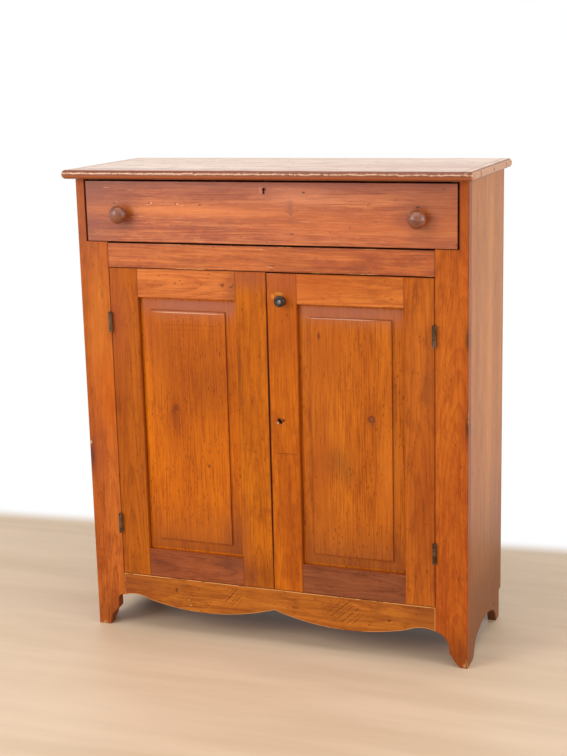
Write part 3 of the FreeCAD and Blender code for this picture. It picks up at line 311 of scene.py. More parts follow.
# Small dark pits: worm holes, specks and bruises, each a little longer along the grain than across.
flecks, place, takes, gives = effect("flecks", ("Pits",), Per_Metre=60.0, Share=0.1, Size=0.12, Stretch=0.5)
along, across, depth = split(flecks, place)
thick = takes["Per_Metre"]
cell_place = joined(flecks, along * thick * takes["Stretch"], across * thick, depth * thick)
cells = added(flecks, "ShaderNodeTexVoronoi", Vector=cell_place, Scale=1.0).node
chance, girth, darkness = split(flecks, cells.outputs["Color"])
widest = takes["Size"] * (girth + 0.35)
pit = 1.0 - Reading(flecks, cells.outputs["Distance"]).rise(widest * 0.7, widest)
fed(flecks, gives, Pits=pit * (takes["Share"] - chance).rise(0.0, 0.02) * (darkness * 0.6 + 0.4))

# Fine scratches that wander over a face and come and go.
scratches, place, takes, gives = effect("scratches", ("Lines",), Per_Metre=12.0, Width=0.006, Share=0.4,
                                        Seed=0.0)
along, across, depth = split(scratches, place)
thick = takes["Per_Metre"]
path_place = joined(scratches, along * thick * 0.7 + takes["Seed"], across * thick, depth * thick)
gate_place = joined(scratches, along * thick * 2.0, across * thick * 2.0 + takes["Seed"], depth)
scratch_line = 1.0 - (clouds(scratches, path_place, 1.0) - 0.5).size().rise(0.0, takes["Width"])
gate = clouds(scratches, gate_place).rise(1.0 - takes["Share"], 1.15 - takes["Share"])
fed(scratches, gives, Lines=scratch_line * gate)

# A few straight scores side by side, such as a dragged chair or a saw leaves, slanting over one place.
scores, place, takes, gives = effect(
    "scores", ("Lines",), Along=0.0, Across=0.0, Length=0.05, Breadth=0.02, Rise=1.0, Gap=0.008, Width=0.1)
along, across, depth = split(scores, place)
over = along - takes["Along"]
aside = across - takes["Across"]
far_along = over / takes["Length"]
far_aside = aside / takes["Breadth"]
beside = (aside - over * takes["Rise"]) / takes["Gap"]
uneven = clouds(scores, joined(scores, beside * 0.6, takes["Along"] * 30.0, 0.0), 1.0)
broken = clouds(scores, joined(scores, over * 60.0, aside * 60.0, 2.0))
score_line = 1.0 - ((beside + uneven * 1.6).part() - 0.5).size().rise(0.0, takes["Width"])
within = 1.0 - (far_along * far_along + far_aside * far_aside).rise(0.5, 1.0)
fed(scores, gives, Lines=score_line * within * broken.rise(0.36, 0.52))

# Edge is 1 on the eased edge of a board and falls to 0 a finger's width inside it.
edge_wear, place, takes, gives = effect("edge wear", ("Worn", "Soiled"), Edge=0.0, Wear=0.5, Grime=0.5)
patches = clouds(edge_wear, place, 4.0, 0.65, 34.0)
broad = clouds(edge_wear, place, 2.0, 0.5, 7.0)
lift = (patches - 0.5) * 0.7 + (broad - 0.5) * 0.9
fed(edge_wear, gives,
    Worn=(takes["Edge"] + lift + takes["Wear"] - 0.5).rise(0.86, 1.02) * takes["Edge"].rise(0.72, 0.97),
    Soiled=(takes["Edge"] * 0.8 + lift * 0.7 + takes["Grime"] - 0.5).rise(0.3, 1.05) * takes["Grime"])


def surfaced(finish, colour, rough, height, strength, depth, **more):
    """Joins a finish's colour, its roughness, its relief and what more it has to its shader."""
    tree = finish.node_tree
    relief = added(tree, "ShaderNodeBump", "Normal", Strength=strength, Distance=depth, Height=height)
    fed(tree, tree.nodes["Principled BSDF"], Base_Color=colour, Roughness=rough, Normal=relief, **more)


def pine(name, run, deep, pale, line, seed, heart=(0.0, 0.06), ring_gap=0.003, tilt=0.015, wander=0.012,
         line_strength=0.5, streak_strength=0.35, mottling=0.6, fibres=0.45, dashes=(0.3, 0.22), knots=(),
         smudges=(), scored=(), shown=9.0, curl=0.0, light=None, rubbed_highlight=None, pits=(0.08, 0.09), bruises=0.10,
         scratch=0.15, wear=0.12, worn=(236, 164, 96), grime=0.5, soil=(112, 44, 10), cut=(124, 58, 20),
         cut_strength=0.6, gloss=0.34, sheen=0.15, coat=0.04, bump=0.35):
    """Old pine under shellac. run names the axes along the grain, across it and into the board. A knot is
    (along, across, half length, half breadth) in millimetres. A smudge adds its red, green and blue and how
    strongly it lies, in hundredths, and scores add how steeply they rise. Neither lies on what is further
    back than shown. light is the colour of pale streaks. The colour given for a rounded edge is a painted
    highlight along it, partly rubbed wear, and brings a warm painted glow under it."""
    finish, tree, known = new_finish(name)
    axes = dict(zip("xyz", split(tree, known["Object"])))
    facing = dict(zip("xyz", split(tree, known["Normal"])))
    place = joined(tree, *(axes[axis] for axis in run))
    edge = Reading(tree, added(tree, "ShaderNodeAttribute", "Fac", {"attribute_name": "edge"}))

    def lying(group, row, **values):
        """An effect laid on one place of the board."""
        middle, side, length, breadth = (part / 1000 for part in row[:4])
        return apply(tree, group, Place=place, Along=middle, Across=side, Length=length, Breadth=breadth,
                     **values)

    found = [lying(spot, row, Raggedness=0.8) for row in knots]
    bend = sum((knot["Bend"] for knot in found[1:]), found[0]["Bend"]) if found else 0.0
    grain = apply(tree, pine_grain, Place=place, Heart_Across=heart[0], Heart_Depth=heart[1],
                  Ring_Gap=ring_gap, Tilt=tilt, Wander=wander, Seed=seed, Bend=bend)
    colour = tinted(tree, grain["Tone"], deep, pale)
    colour = tinted(tree, (1.0 - grain["Mottle"]).rise(0.44, 0.7) * mottling * 0.7, colour, light or pale)
    colour = tinted(tree, grain["Mottle"].rise(0.46, 0.72) * mottling, colour, line)
    colour = tinted(tree, grain["Late Wood"] * line_strength, colour, line)
    colour = tinted(tree, grain["Streak"] * streak_strength, colour, line)
    if curl:
        sweep = (axes["z"] * 52.0 + axes["x"] * 70.0
                 + clouds(tree, joined(tree, axes["z"] * 9.0, axes["x"] * 14.0, seed), 3.0, 0.6) * 9.0)
        bars = (sweep.part() - 0.5).size().rise(0.12, 0.42)
        patches = clouds(tree, place, 2.0, 0.5, 9.0).rise(0.4, 0.62)
        colour = tinted(tree, bars * patches * curl * 0.6, colour, line)
    if light:
        colour = tinted(tree, (1.0 - grain["Streak"]).rise(0.6, 1.0) * 0.4, colour, light)
    colour = tinted(tree, (1.0 - grain["Fibre"]).rise(0.5, 0.66) * fibres * 0.6, colour, light or pale)
    colour = tinted(tree, grain["Fibre"].rise(0.5, 0.66) * fibres, colour, line)
    short = apply(tree, flecks, Place=place, Per_Metre=210.0, Share=dashes[0], Size=dashes[1], Stretch=0.26)
    gathered = clouds(tree, place, 2.0, 0.5, 10.0).rise(0.30, 0.58)
    colour = tinted(tree, short["Pits"] * gathered * 0.9, colour, (98, 40, 8))
    for knot in found:
        colour = tinted(tree, knot["Halo"] * 0.3, colour, line)
        colour = tinted(tree, knot["Heart"] * 0.6, colour, (128, 68, 40))
        colour = tinted(tree, knot["Ring"] * 0.75, colour, (84, 44, 28))
    outside = (shown - axes["y"]).rise(0.0, 0.001)
    for row in smudges:
        # A small or narrow mark has a clean edge, and a broad one fades out.
        crisp = row[2] < 12 or row[3] < 1.6
        mark = lying(spot, row, Raggedness=0.9)["Heart" if crisp else "Halo"]
        colour = tinted(tree, mark * outside * (row[7] / 100), colour, row[4:7])
    for row in scored:
        mark = lying(scores, row, Rise=row[8], Gap=0.0135, Width=0.13)["Lines"]
        colour = tinted(tree, mark * outside * (row[7] / 100), colour, row[4:7])
    specks = apply(tree, flecks, Place=place, Share=pits[0], Size=pits[1])
    lines = apply(tree, scratches, Place=place, Seed=seed)
    colour = tinted(tree, specks["Pits"] * 0.8, colour, (56, 24, 12))
    colour = tinted(tree, lines["Lines"] * scratch, colour, worn)
    wearing = apply(tree, edge_wear, Place=place, Edge=edge, Wear=wear, Grime=grime)
    flat = facing[run[2]].size().rise(0.9, 0.995) if rubbed_highlight else facing[run[2]].size().rise(0.5, 0.95)
    colour = tinted(tree, (1.0 - flat) * cut_strength, colour, cut)
    colour = tinted(tree, wearing["Soiled"], colour, soil)
    colour = tinted(tree, wearing["Worn"], colour, worn)
    if rubbed_highlight:
        ripple = clouds(tree, joined(tree, axes["x"] * 30.0, axes["y"] * 30.0, 1.0), 4.0, 0.8)
        breaks = clouds(tree, joined(tree, axes["x"] * 90.0, axes["y"] * 60.0, 5.0), 4.0, 0.8)
        low_line = (facing["z"] - 0.26 + (ripple - 0.5) * 0.9) * 9.0
        high_line = (facing["z"] - 0.52 + (ripple - 0.5) * 0.8) * 8.0
        rounded = (1.0 - flat) * (0.0 - facing["y"]).rise(0.3, 0.7)
        # Painted glow: a warm band on the lower half of the rounded edge.
        painted_glow = ((facing["z"] + 0.42) * 2.6).fading() * rounded
        colour = tinted(tree, painted_glow * 0.6, colour, (196, 104, 52))
        # Painted highlight: a thin broken bright line along the rounded edge, partly rubbed wear.
        painted_shine = low_line.fading() * breaks.rise(0.34, 0.5)
        painted_shine = painted_shine + high_line.fading() * breaks.rise(0.52, 0.64) * 0.4
        colour = tinted(tree, (facing["x"] * (1.0 - flat)).rise(0.55, 0.8) * 0.8, colour, (208, 150, 108))
        colour = tinted(tree, painted_shine.capped() * rounded * 0.8, colour, rubbed_highlight)

    rough = grain["Fibre"] * 0.14 + gloss + wearing["Worn"] * 0.25 + specks["Pits"] * 0.3
    dents = clouds(tree, place, 3.0, 0.5, 22.0)
    knocks = apply(tree, flecks, Place=place, Per_Metre=26.0, Share=bruises, Size=0.2, Stretch=0.7)
    height = grain["Late Wood"] * 0.35 + grain["Fibre"] * 0.5 + dents * 1.4 - specks["Pits"] * 2.5
    height = height - lines["Lines"] * 0.6 - knocks["Pits"] * 1.8
    surfaced(finish, colour, rough.capped(), height, bump, 0.0008, Specular_IOR_Level=sheen,
             Coat_Weight=flat * coat if rubbed_highlight else coat, Coat_Roughness=0.14)
    return finish


def settle(rim, region, outline, inset):
    """Draws a new band back towards the outline of its face until no part of it lies over another."""
    corners = {vertex for face in region for vertex in face.verts}
    reach = {}
    inner_lines = []
    for face in rim:
        for edge in face.edges:
            found = [vertex for vertex in edge.verts if vertex in corners]
            if len(found) == 1:
                reach[found[0]] = (edge.other_vert(found[0]).co.copy(), found[0].co.copy())
            elif len(found) == 2:
                inner_lines.append(found)
    for share in (1.0, 0.7, 0.5, 0.35, 0.22, 0.12, 0.05):
        places = {vertex: start.lerp(end, share) for vertex, (start, end) in reach.items()}
        middles = [places[first].lerp(places[second], 0.5) for first, second in inner_lines
                   if first in places and second in places]
        least = share * inset * 0.93
        if all((point - nearest(point, line)).length > least
               for point in list(places.values()) + middles for line in outline):
            break
    for vertex, place in places.items():
        vertex.co = place


def nearest(point, line):
    """The place on a straight line between two ends that is nearest to the point."""
    start, end = line
    run = end - start
    return start + run * min(max((point - start).dot(run) / max(run.length_squared, 1e-12), 0.0), 1.0)


def planed(node, eased=0.0008, band=0.007, eased_from=25.0, mitres=False, holes=()):
    """The board as it leaves the bench: whole flat faces, eased edges, and a band along them for the wear.
    A mitre is a slanting edge of a bevelled panel, and is left as it is. A face with a hole in it is halved
    through the hole: holes are (axis, place). Where a mortise opens close to an edge, the band is made
    narrower until it lies beside itself everywhere."""
    board = bmesh.new()
    board.from_mesh(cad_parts[node].data)
    bmesh.ops.remove_doubles(board, verts=board.verts, dist=2e-6)
    for axis, place in holes:
        across = Vector([float(letter == axis) for letter in "xyz"])
        halved = bmesh.ops.bisect_plane(board, geom=board.verts[:] + board.edges[:] + board.faces[:],
                                        dist=1e-6, plane_co=across * place, plane_no=across)
        for part in halved["geom_cut"]:
            if isinstance(part, bmesh.types.BMEdge):
                part.seam = True
    bmesh.ops.dissolve_limit(board, angle_limit=math.radians(0.4), verts=board.verts, edges=board.edges,
                             delimit={"SEAM"})
    sharp = []
    for edge in board.edges:
        if len(edge.link_faces) == 2 and edge.calc_face_angle() > math.radians(eased_from):
            run = (edge.verts[1].co - edge.verts[0].co).normalized()
            if not mitres or sorted(abs(part) for part in run)[1] < 0.05:
                sharp.append(edge)
    rounded = bmesh.ops.bevel(board, geom=sharp, offset=eased, offset_type="OFFSET", segments=2, profile=0.5,
                              affect="EDGES", clamp_overlap=True)
    layer = board.verts.layers.float.new("edge")
    for vertex in board.verts:
        vertex[layer] = 1.0
    eased_faces = set(rounded["faces"])
    waiting = dict.fromkeys(face for face in board.faces if face not in eased_faces)
    while waiting:
        region = [waiting.popitem()[0]]
        for face in region:
            for edge in face.edges:
                for other in edge.link_faces:
                    if other in waiting:
                        del waiting[other]
                        region.append(other)
        inside = set(region)
        outline = [[corner.co.copy() for corner in edge.verts] for edge in board.edges
                   if len([face for face in edge.link_faces if face in inside]) == 1]
        inset = min(band, 0.7 * sum(face.calc_area() for face in region)
                    / sum((end - start).length for start, end in outline))
        if inset > 0.0012:
            banded = bmesh.ops.inset_region(board, faces=region, thickness=inset, use_even_offset=True,
                                            use_boundary=True)
            settle(banded["faces"], region, outline, inset)
            for face in region:
                for vertex in face.verts:
                    vertex[layer] = 1.0 - inset / band
    low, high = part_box(node)
    for vertex in board.verts:
        vertex.co = Vector([min(max(at, least), most) for at, least, most in zip(vertex.co, low, high)])
    for face in board.faces:
        face.smooth = True
    mesh = bpy.data.meshes.new(node + "_raw")
    board.to_mesh(mesh)
    board.free()
    mesh.set_sharp_from_angle(angle=math.radians(38))
    return mesh


def made_up(raw):
    """The mesh that an object and what works on it come to. The object itself isn't kept."""
    scene.collection.objects.link(raw)
    mesh = bpy.data.meshes.new_from_object(raw.evaluated_get(bpy.context.evaluated_depsgraph_get()))
    bpy.data.objects.remove(raw)
    return mesh


def placed(name, mesh, body, node):
    """Puts a finished piece on the body it belongs to, in place of the plain solid that it stands for."""
    mesh.name = name
    made = bpy.data.objects.new(name, mesh)
    scene.collection.objects.link(made)
    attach(made, body)
    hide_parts(node)


def boards(finish, *nodes, left="planed", body="case", slot="pine", **making):
    """Makes boards and puts them in place. They are called by how the last tool left them."""
    for node in nodes:
        mesh = planed(node, **making)
        mesh.materials.append(finish)
        raw = bpy.data.objects.new(node + "_raw", mesh)
        raw.modifiers.new("shading", "WEIGHTED_NORMAL").keep_sharp = True
        placed(f"{node}_{left}", made_up(raw), body, node)


side_left_pine = pine(
    "side pine, left", "zyx", (176, 92, 30), (204, 116, 44), (124, 54, 16), 4.1,
    heart=(0.02, -0.60), ring_gap=0.004, tilt=0.03, sheen=0.5, coat=0.2)
side_right_pine = pine(
    "side pine, right", "zyx", (178, 109, 47), (198, 127, 58), (127, 68, 28), 7.3,
    heart=(0.03, 0.40), ring_gap=0.005, tilt=0.03, line_strength=0.24, streak_strength=0.2, mottling=0.35,
    fibres=0.5, worn=(226, 170, 120), soil=(112, 60, 30), cut=(96, 50, 26), gloss=0.42,
    sheen=0.35, coat=0.03,
    smudges=(
        # The first mark darkens the board's lower part: painted shade, darker towards the floor.
        (80, 0, 140, 340, 110, 54, 8, 85), (750, 50, 180, 20, 212, 140, 76, 40),
        (893, 113, 34, 1.2, 96, 60, 42, 70), (905, 130, 26, 1.2, 96, 60, 42, 60),
        (935, 124, 2, 6, 96, 60, 42, 60), (862, 104, 8, 1.4, 90, 54, 36, 70),
        (1110, 0, 50, 1.2, 140, 92, 66, 60), (1070, 137, 70, 1.2, 140, 92, 66, 60),
        (800, -60, 3, 1.5, 110, 66, 44, 60), (660, 40, 3, 1.5, 110, 66, 44, 60),
        (57, 112, 4, 8, 40, 24, 16, 80), (55, 122, 6, 4, 52, 32, 20, 70),
        (470, -120, 8, 4, 104, 60, 36, 50)))
boards(side_left_pine, "side_board_left")
boards(side_right_pine, "side_board_right")


# ---- The face frame --------------------------------------------------------------------------------
# Two stiles run the whole height and end in the front feet. The rail under the drawer and the scalloped
# skirt are tenoned between them. All four stand edge to edge, flush, and took the most handling.

stile_left_pine = pine(
    "stile pine, left", "zxy", (187, 92, 23), (212, 115, 42), (134, 53, 15), 1.7,
    heart=(-0.43, -0.12), tilt=0.02,
    smudges=(
        (945, -452, 8, 3.5, 110, 50, 20, 60), (966, -455, 3, 2, 96, 44, 20, 60),
        (872, -431, 11, 3.2, 84, 42, 22, 70), (892, -437, 4, 3, 120, 56, 20, 50),
        (455, -482, 24, 5, 66, 40, 44, 85), (490, -485, 5, 3.5, 232, 196, 150, 80),
        (800, -445, 100, 20, 222, 132, 48, 45), (470, -465, 50, 12, 150, 70, 40, 50),
        (615, -427, 60, 16, 198, 92, 4, 60), (4, -472, 4, 6, 220, 170, 112, 70),
        (3, -452, 3, 4, 220, 170, 112, 60), (1070, -470, 70, 30, 150, 84, 62, 50),
        # The last mark, at the left foot's inner curve, is painted shadow.
        (20, -440, 30, 30, 96, 40, 14, 50)))
stile_right_pine = pine(
    "stile pine, right", "zxy", (192, 92, 20), (217, 119, 30), (144, 58, 16), 9.2,
    heart=(0.47, -0.10), ring_gap=0.0034, tilt=0.04, wander=0.03, wear=0.26, curl=0.3,
    smudges=(
        (1100, 475, 60, 30, 150, 70, 32, 55), (6, 487, 6, 3.5, 228, 184, 126, 80),
        (16, 490.5, 9, 1.6, 228, 180, 120, 70), (797, 491, 18, 3, 70, 30, 12, 80),
        (595, 492, 16, 3, 70, 30, 12, 80), (30, 475, 30, 20, 112, 50, 18, 60)))
rail_pine = pine(
    "rail pine", "xzy", (184, 86, 29), (208, 109, 40), (132, 55, 16), 2.9,
    heart=(0.95, -0.05), tilt=0.008, wear=0.3, sheen=0.4, coat=0.15, light=(224, 132, 62),
    smudges=(
        (22, 955.5, 10, 2.2, 128, 62, 34, 70), (16, 952.5, 8, 1, 236, 164, 112, 60),
        (20, 945.5, 6, 1.2, 70, 32, 18, 80), (-100, 943.2, 6, 1, 90, 42, 20, 70),
        (-5, 994, 5, 1.2, 236, 160, 108, 60), (130, 970, 8, 10, 150, 74, 40, 40)))
skirt_pine = pine(
    "skirt pine", "xzy", (179, 97, 22), (208, 123, 42), (121, 52, 15), 6.4,
    heart=(0.10, -0.06), tilt=0.01, wear=0.52, worn=(228, 158, 92), scratch=0.4, dashes=(0.4, 0.22),
    pits=(0.3, 0.13), cut=(60, 28, 14),
    scored=((-104, 113, 28, 30, 72, 30, 10, 95, 1.13), (188, 107, 56, 34, 66, 28, 8, 95, 0.9)),
    smudges=(
        (-229, 91.8, 1.8, 1.8, 236, 196, 140, 80), (-224.1, 78.1, 1.4, 2.2, 236, 196, 140, 80),
        (-400, 120, 50, 20, 128, 56, 28, 50), (-262, 115, 3.5, 7, 96, 40, 12, 60),
        (-200, 124, 2.2, 1.8, 84, 34, 10, 80), (-170, 92, 2.2, 1.8, 84, 34, 10, 70),
        (60, 105, 11, 4, 116, 52, 16, 50), (300, 98, 3, 1.8, 84, 34, 10, 70),
        (340, 88, 2.5, 2, 84, 34, 10, 70), (250, 82, 3, 1.5, 90, 38, 12, 70),
        (130, 122, 2.2, 1.5, 84, 34, 10, 70), (389, 152, 30, 28, 116, 50, 20, 60)))
boards(stile_left_pine, "face_stile_left", eased=0.0012)
boards(stile_right_pine, "face_stile_right", eased=0.0012)
boards(rail_pine, "front_rail", eased=0.0012)
boards(skirt_pine, "skirt", eased=0.0012)


# ---- The bottom board and the shelves --------------------------------------------------------------
# One board each, set between the sides with their ends on cleats. The wood inside was never finished, and
# has only darkened, gathered dust and taken rings and scuffs from the jars.

shelf_pine = pine(
    "shelf pine", "xyz", (176, 122, 78), (208, 156, 108), (134, 84, 48), 3.3,
    heart=(0.0, -0.2), ring_gap=0.006, tilt=0.02, worn=(214, 170, 124), soil=(104, 72, 50),
    cut=(158, 108, 68), gloss=0.62, coat=0.0, grime=0.6, scratch=0.4,
    knots=((210, 60, 12, 10), (-300, -50, 8, 7)),
    smudges=((-120, 40, 50, 45, 120, 78, 48, 35), (330, -20, 35, 35, 112, 72, 46, 35)))
boards(shelf_pine, "bottom_board", "shelf_lower", "shelf_upper", slot="pine_inside")


# ---- The cleats and the glue blocks ----------------------------------------------------------------
# Sawn battens, glued and nailed to the side boards under the ends of the boards, and short blocks that
# hold the skirt to the bottom board from behind.

batten_pine = pine(
    "batten pine", "yzx", (168, 116, 74), (192, 140, 94), (132, 84, 50), 5.6,
    heart=(0.3, 0.2), ring_gap=0.004, tilt=0.01, worn=(208, 164, 118), soil=(108, 74, 52),
    cut=(150, 102, 66), gloss=0.66, coat=0.0)
block_pine = pine(
    "glue block pine", "xzy", (172, 118, 72), (198, 146, 98), (128, 80, 46), 6.9,
    heart=(0.2, 0.1), ring_gap=0.0035, tilt=0.01, worn=(208, 164, 118), soil=(96, 60, 34),
    cut=(150, 102, 66), gloss=0.6, coat=0.0, grime=0.7)
boards(batten_pine, "shelf_cleats", left="sawn", slot="pine_inside", eased=0.0005)
boards(block_pine, "glue_blocks", left="sawn", slot="pine_inside", eased=0.0005)


# ---- What the drawer runs on -----------------------------------------------------------------------
# Sawn battens: runners under the drawer's sides, kickers over them that keep it from tipping when it is
# pulled out, and two stops behind the front. The runners are polished by the sliding.

runner_pine = pine(
    "runner pine", "yzx", (160, 104, 60), (190, 134, 84), (120, 72, 40), 8.1,
    heart=(1.1, 0.2), ring_gap=0.004, tilt=0.01, worn=(216, 172, 120), soil=(92, 60, 38),
    cut=(146, 96, 60), gloss=0.48, coat=0.0, wear=0.45, grime=0.6, scratch=0.5)
boards(runner_pine, "drawer_runner_left", "drawer_runner_right", "drawer_kickers", "drawer_stops",
       left="sawn", slot="pine_inside", eased=0.0005)


# ---- The back --------------------------------------------------------------------------------------
# Five upright boards lie in rabbets in the side boards, a hair apart, with a rail behind the drawer. They
# are rough from the saw and grey with age, each from another part of the tree.

for count in range(1, 6):
    back_pine = pine(
        f"back pine {count}", "zxy", (150 - 4 * (count % 3), 110, 82), (184, 142 - 3 * (count % 2), 110),
        (112, 78, 56), 11.0 + 2.3 * count, heart=(-0.55 + 0.2 * count, 0.25 + 0.02 * count), ring_gap=0.0055,
        tilt=0.03, gloss=0.7, coat=0.0, scratch=0.5, line_strength=0.5,
        knots=((300 + 130 * count, -520 + 190 * count, 12, 11),
               (950 - 110 * count, -460 + 190 * count, 7, 6)),
        smudges=((200 + 150 * count, -490 + 190 * count, 200, 20, 112, 86, 68, 45),),
        worn=(196, 160, 126), soil=(84, 60, 46), cut=(120, 84, 60), grime=0.6)
    boards(back_pine, f"back_board_{count}", left="sawn", slot="pine_inside", eased=0.0006)
boards(batten_pine, "back_rail", left="sawn", slot="pine_inside", eased=0.0006)


# ---- The back nails --------------------------------------------------------------------------------
# Two round-headed iron nails hold each back board to every board and rail behind it. They were driven by
# hand, so no two heads sit at quite the same turn.

def old_iron(name, dark, light, rust, gloss=0.5, rusting=0.7):
    """Iron that has gone brown: a dark metal with dull rust in clouds and a worn grey here and there."""
    finish, tree, known = new_finish(name)
    broad = clouds(tree, known["Object"], 3.0, 0.6, 60.0)
    fine = clouds(tree, known["Object"], 4.0, 0.7, 420.0)
    rusty = (broad * 0.5 + fine * 0.5).rise(0.46, 0.6) * rusting
    colour = tinted(tree, rusty, tinted(tree, broad.rise(0.35, 0.65), dark, light), rust)
    surfaced(finish, colour, fine * 0.25 + gloss, fine, 0.4, 0.0003, Metallic=1.0 - rusty)
    return finish


# One nail or screw stands at every point and looks along that point's "outward": a head, and a shank that
# narrows to its tip. A screw's head has a slot, at a turn of its own.
driven = bpy.data.node_groups.new("nail or screw", "GeometryNodeTree")
driven.is_modifier = True
for label, kind, start in (
        ("Points", "Geometry", None), ("Head Radius", "Float", 0.003), ("Head Height", "Float", 0.0015),
        ("Head Sides", "Int", 12), ("Crown", "Float", 0.7), ("Stretch", "Float", 1.0),
        ("Shank Radius", "Float", 0.0015), ("Shank Sides", "Int", 8), ("Tip", "Float", 0.5),
        ("Length", "Float", 0.03), ("Slotted", "Bool", False), ("Most Turn", "Float", 0.0),
        ("Seed", "Int", 1), ("Metal", "Material", None)):
    socket = driven.interface.new_socket(label, in_out="INPUT", socket_type="NodeSocket" + kind)
    if start is not None:
        socket.default_value = start
driven.interface.new_socket("Made", in_out="OUTPUT", socket_type="NodeSocketGeometry")
takes = driven.nodes.new("NodeGroupInput").outputs
gives = driven.nodes.new("NodeGroupOutput").inputs


def stage(kind, output=0, settings=None, **inputs):
    """One step of the nail's making."""
    return added(driven, kind, output, settings, **inputs)


def times(first, second):
    return stage("ShaderNodeMath", 0, {"operation": "MULTIPLY"}, _0=first, _1=second)


def quarter(geometry, height, stretch=1.0):
    """Turns a four-sided shape square to the work and lifts it."""
    turned = stage("GeometryNodeTransform", Geometry=geometry, Rotation=(0.0, 0.0, math.pi / 4))
    lift = stage("ShaderNodeCombineXYZ", Z=height)
    pull = stage("ShaderNodeCombineXYZ", X=1.0, Y=stretch, Z=1.0)
    return stage("GeometryNodeTransform", Geometry=turned, Translation=lift, Scale=pull)


head = stage("GeometryNodeMeshCone", Vertices=takes["Head Sides"], Radius_Bottom=takes["Head Radius"],
             Radius_Top=times(takes["Head Radius"], takes["Crown"]), Depth=takes["Head Height"])
head = quarter(head, 0.0, takes["Stretch"])
slot_size = stage("ShaderNodeCombineXYZ", X=times(takes["Head Radius"], 3.0),
                  Y=times(takes["Head Radius"], 0.24), Z=takes["Head Height"])
slot_cut = stage("GeometryNodeTransform", Geometry=stage("GeometryNodeMeshCube", Size=slot_size),
                 Translation=stage("ShaderNodeCombineXYZ", Z=takes["Head Height"]))
sawn = stage("GeometryNodeMeshBoolean", "Mesh", {"solver": "EXACT"}, Mesh_1=head, Mesh_2=slot_cut)
head = stage("GeometryNodeSwitch", Switch=takes["Slotted"], False_=head, True_=sawn)
shank = stage("GeometryNodeMeshCone", Vertices=takes["Shank Sides"], Radius_Top=takes["Shank Radius"],
              Radius_Bottom=times(takes["Shank Radius"], takes["Tip"]), Depth=takes["Length"])
shank = quarter(shank, times(takes["Length"], -1.0))
whole = driven.nodes.new("GeometryNodeJoinGeometry")
driven.links.new(shank, whole.inputs[0])
driven.links.new(head, whole.inputs[0])
outward = stage("GeometryNodeInputNamedAttribute", "Attribute", {"data_type": "FLOAT_VECTOR"}, Name="outward")
upright_turn = stage("FunctionNodeAlignRotationToVector", Vector=outward)
stood = stage("GeometryNodeInstanceOnPoints", Points=takes["Points"], Instance=whole.outputs[0],
              Rotation=upright_turn)
chance = stage("FunctionNodeRandomValue", 1, _3=takes["Most Turn"], _8=takes["Seed"])
stood = stage("GeometryNodeRotateInstances", Instances=stood, Local_Space=True,
              Rotation=stage("ShaderNodeCombineXYZ", Z=chance))
real = stage("GeometryNodeRealizeInstances", Geometry=stood)
driven.links.new(stage("GeometryNodeSetMaterial", Geometry=real, Material=takes["Metal"]), gives["Made"])


def fastened(name, stations, metal, body, node, **sizes):
    """Drives one nail or screw at each station, a place and the way its head looks, for one body."""
    points = bpy.data.meshes.new(name + "_stations")
    points.from_pydata([place for place, way in stations], [], [])
    ways = points.attributes.new("outward", "FLOAT_VECTOR", "POINT")
    for entry, (place, way) in zip(ways.data, stations):
        entry.vector = way
    raw = bpy.data.objects.new(name + "_stations", points)
    making = raw.modifiers.new("driven", "NODES")
    making.node_group = driven
    sizes["Metal"] = metal
    for item in driven.interface.items_tree:
        if item.in_out == "INPUT" and item.name.replace(" ", "_") in sizes:
            making[item.identifier] = sizes[item.name.replace(" ", "_")]
    placed(name, made_up(raw), body, node)


nail_iron = old_iron("back nail iron", (52, 46, 42), (88, 78, 70), (92, 56, 38), 0.55)
first_board, board_step, back_face = -0.477, 0.192, 0.199
across_back = [first_board + board_step * count + inset for count in range(5) for inset in (0.025, 0.167)]
rows_up = (0.1355, 0.4035, 0.6705, 1.139)
back_stations = [((x, back_face, z), (0.0, 1.0, 0.0)) for x in across_back for z in rows_up]
fastened("back_nails_driven", back_stations, nail_iron, "case", "back_nails", Head_Radius=0.0032,
         Head_Height=0.0015, Head_Sides=12, Crown=0.62, Shank_Radius=0.0015, Shank_Sides=8, Length=0.030,
         Tip=0.3, Most_Turn=1.0, Seed=4)


# ---- The top ---------------------------------------------------------------------------------------
# One wide board with a strip across each end, rounded together along the front and both ends. Its face is
# pale and shines, its colours raised partly as painted glare; the rounded edge has stayed dark, with a
# painted highlight along it and a painted glow under it.

# The board's pale colours are raised partly as painted glare off its shining face.
top_pine = pine(
    "top pine", "xyz", (238, 182, 138), (255, 224, 186), (128, 62, 26), 8.8,
    heart=(0.05, 0.9), ring_gap=0.005, tilt=0.03, line_strength=0.7, mottling=0.9, fibres=0.9,
    pits=(0.2, 0.16), worn=(232, 180, 136), soil=(104, 44, 18), cut=(116, 50, 18), cut_strength=0.98,
    smudges=(
        (100, -175, 500, 12, 164, 92, 52, 60), (-200, 50, 200, 40, 196, 130, 84, 40),
        (300, -50, 140, 50, 176, 104, 60, 60), (0, 160, 300, 20, 196, 132, 88, 50),
        (440, -80, 50, 30, 168, 100, 62, 60), (-420, -160, 50, 20, 160, 90, 52, 60)),
    # (250, 206, 166) is the colour of the painted highlight along the rounded edge.
    rubbed_highlight=(250, 206, 166), gloss=0.28, sheen=0.5, coat=0.4, wear=0.12, grime=0.7, bump=0.6)
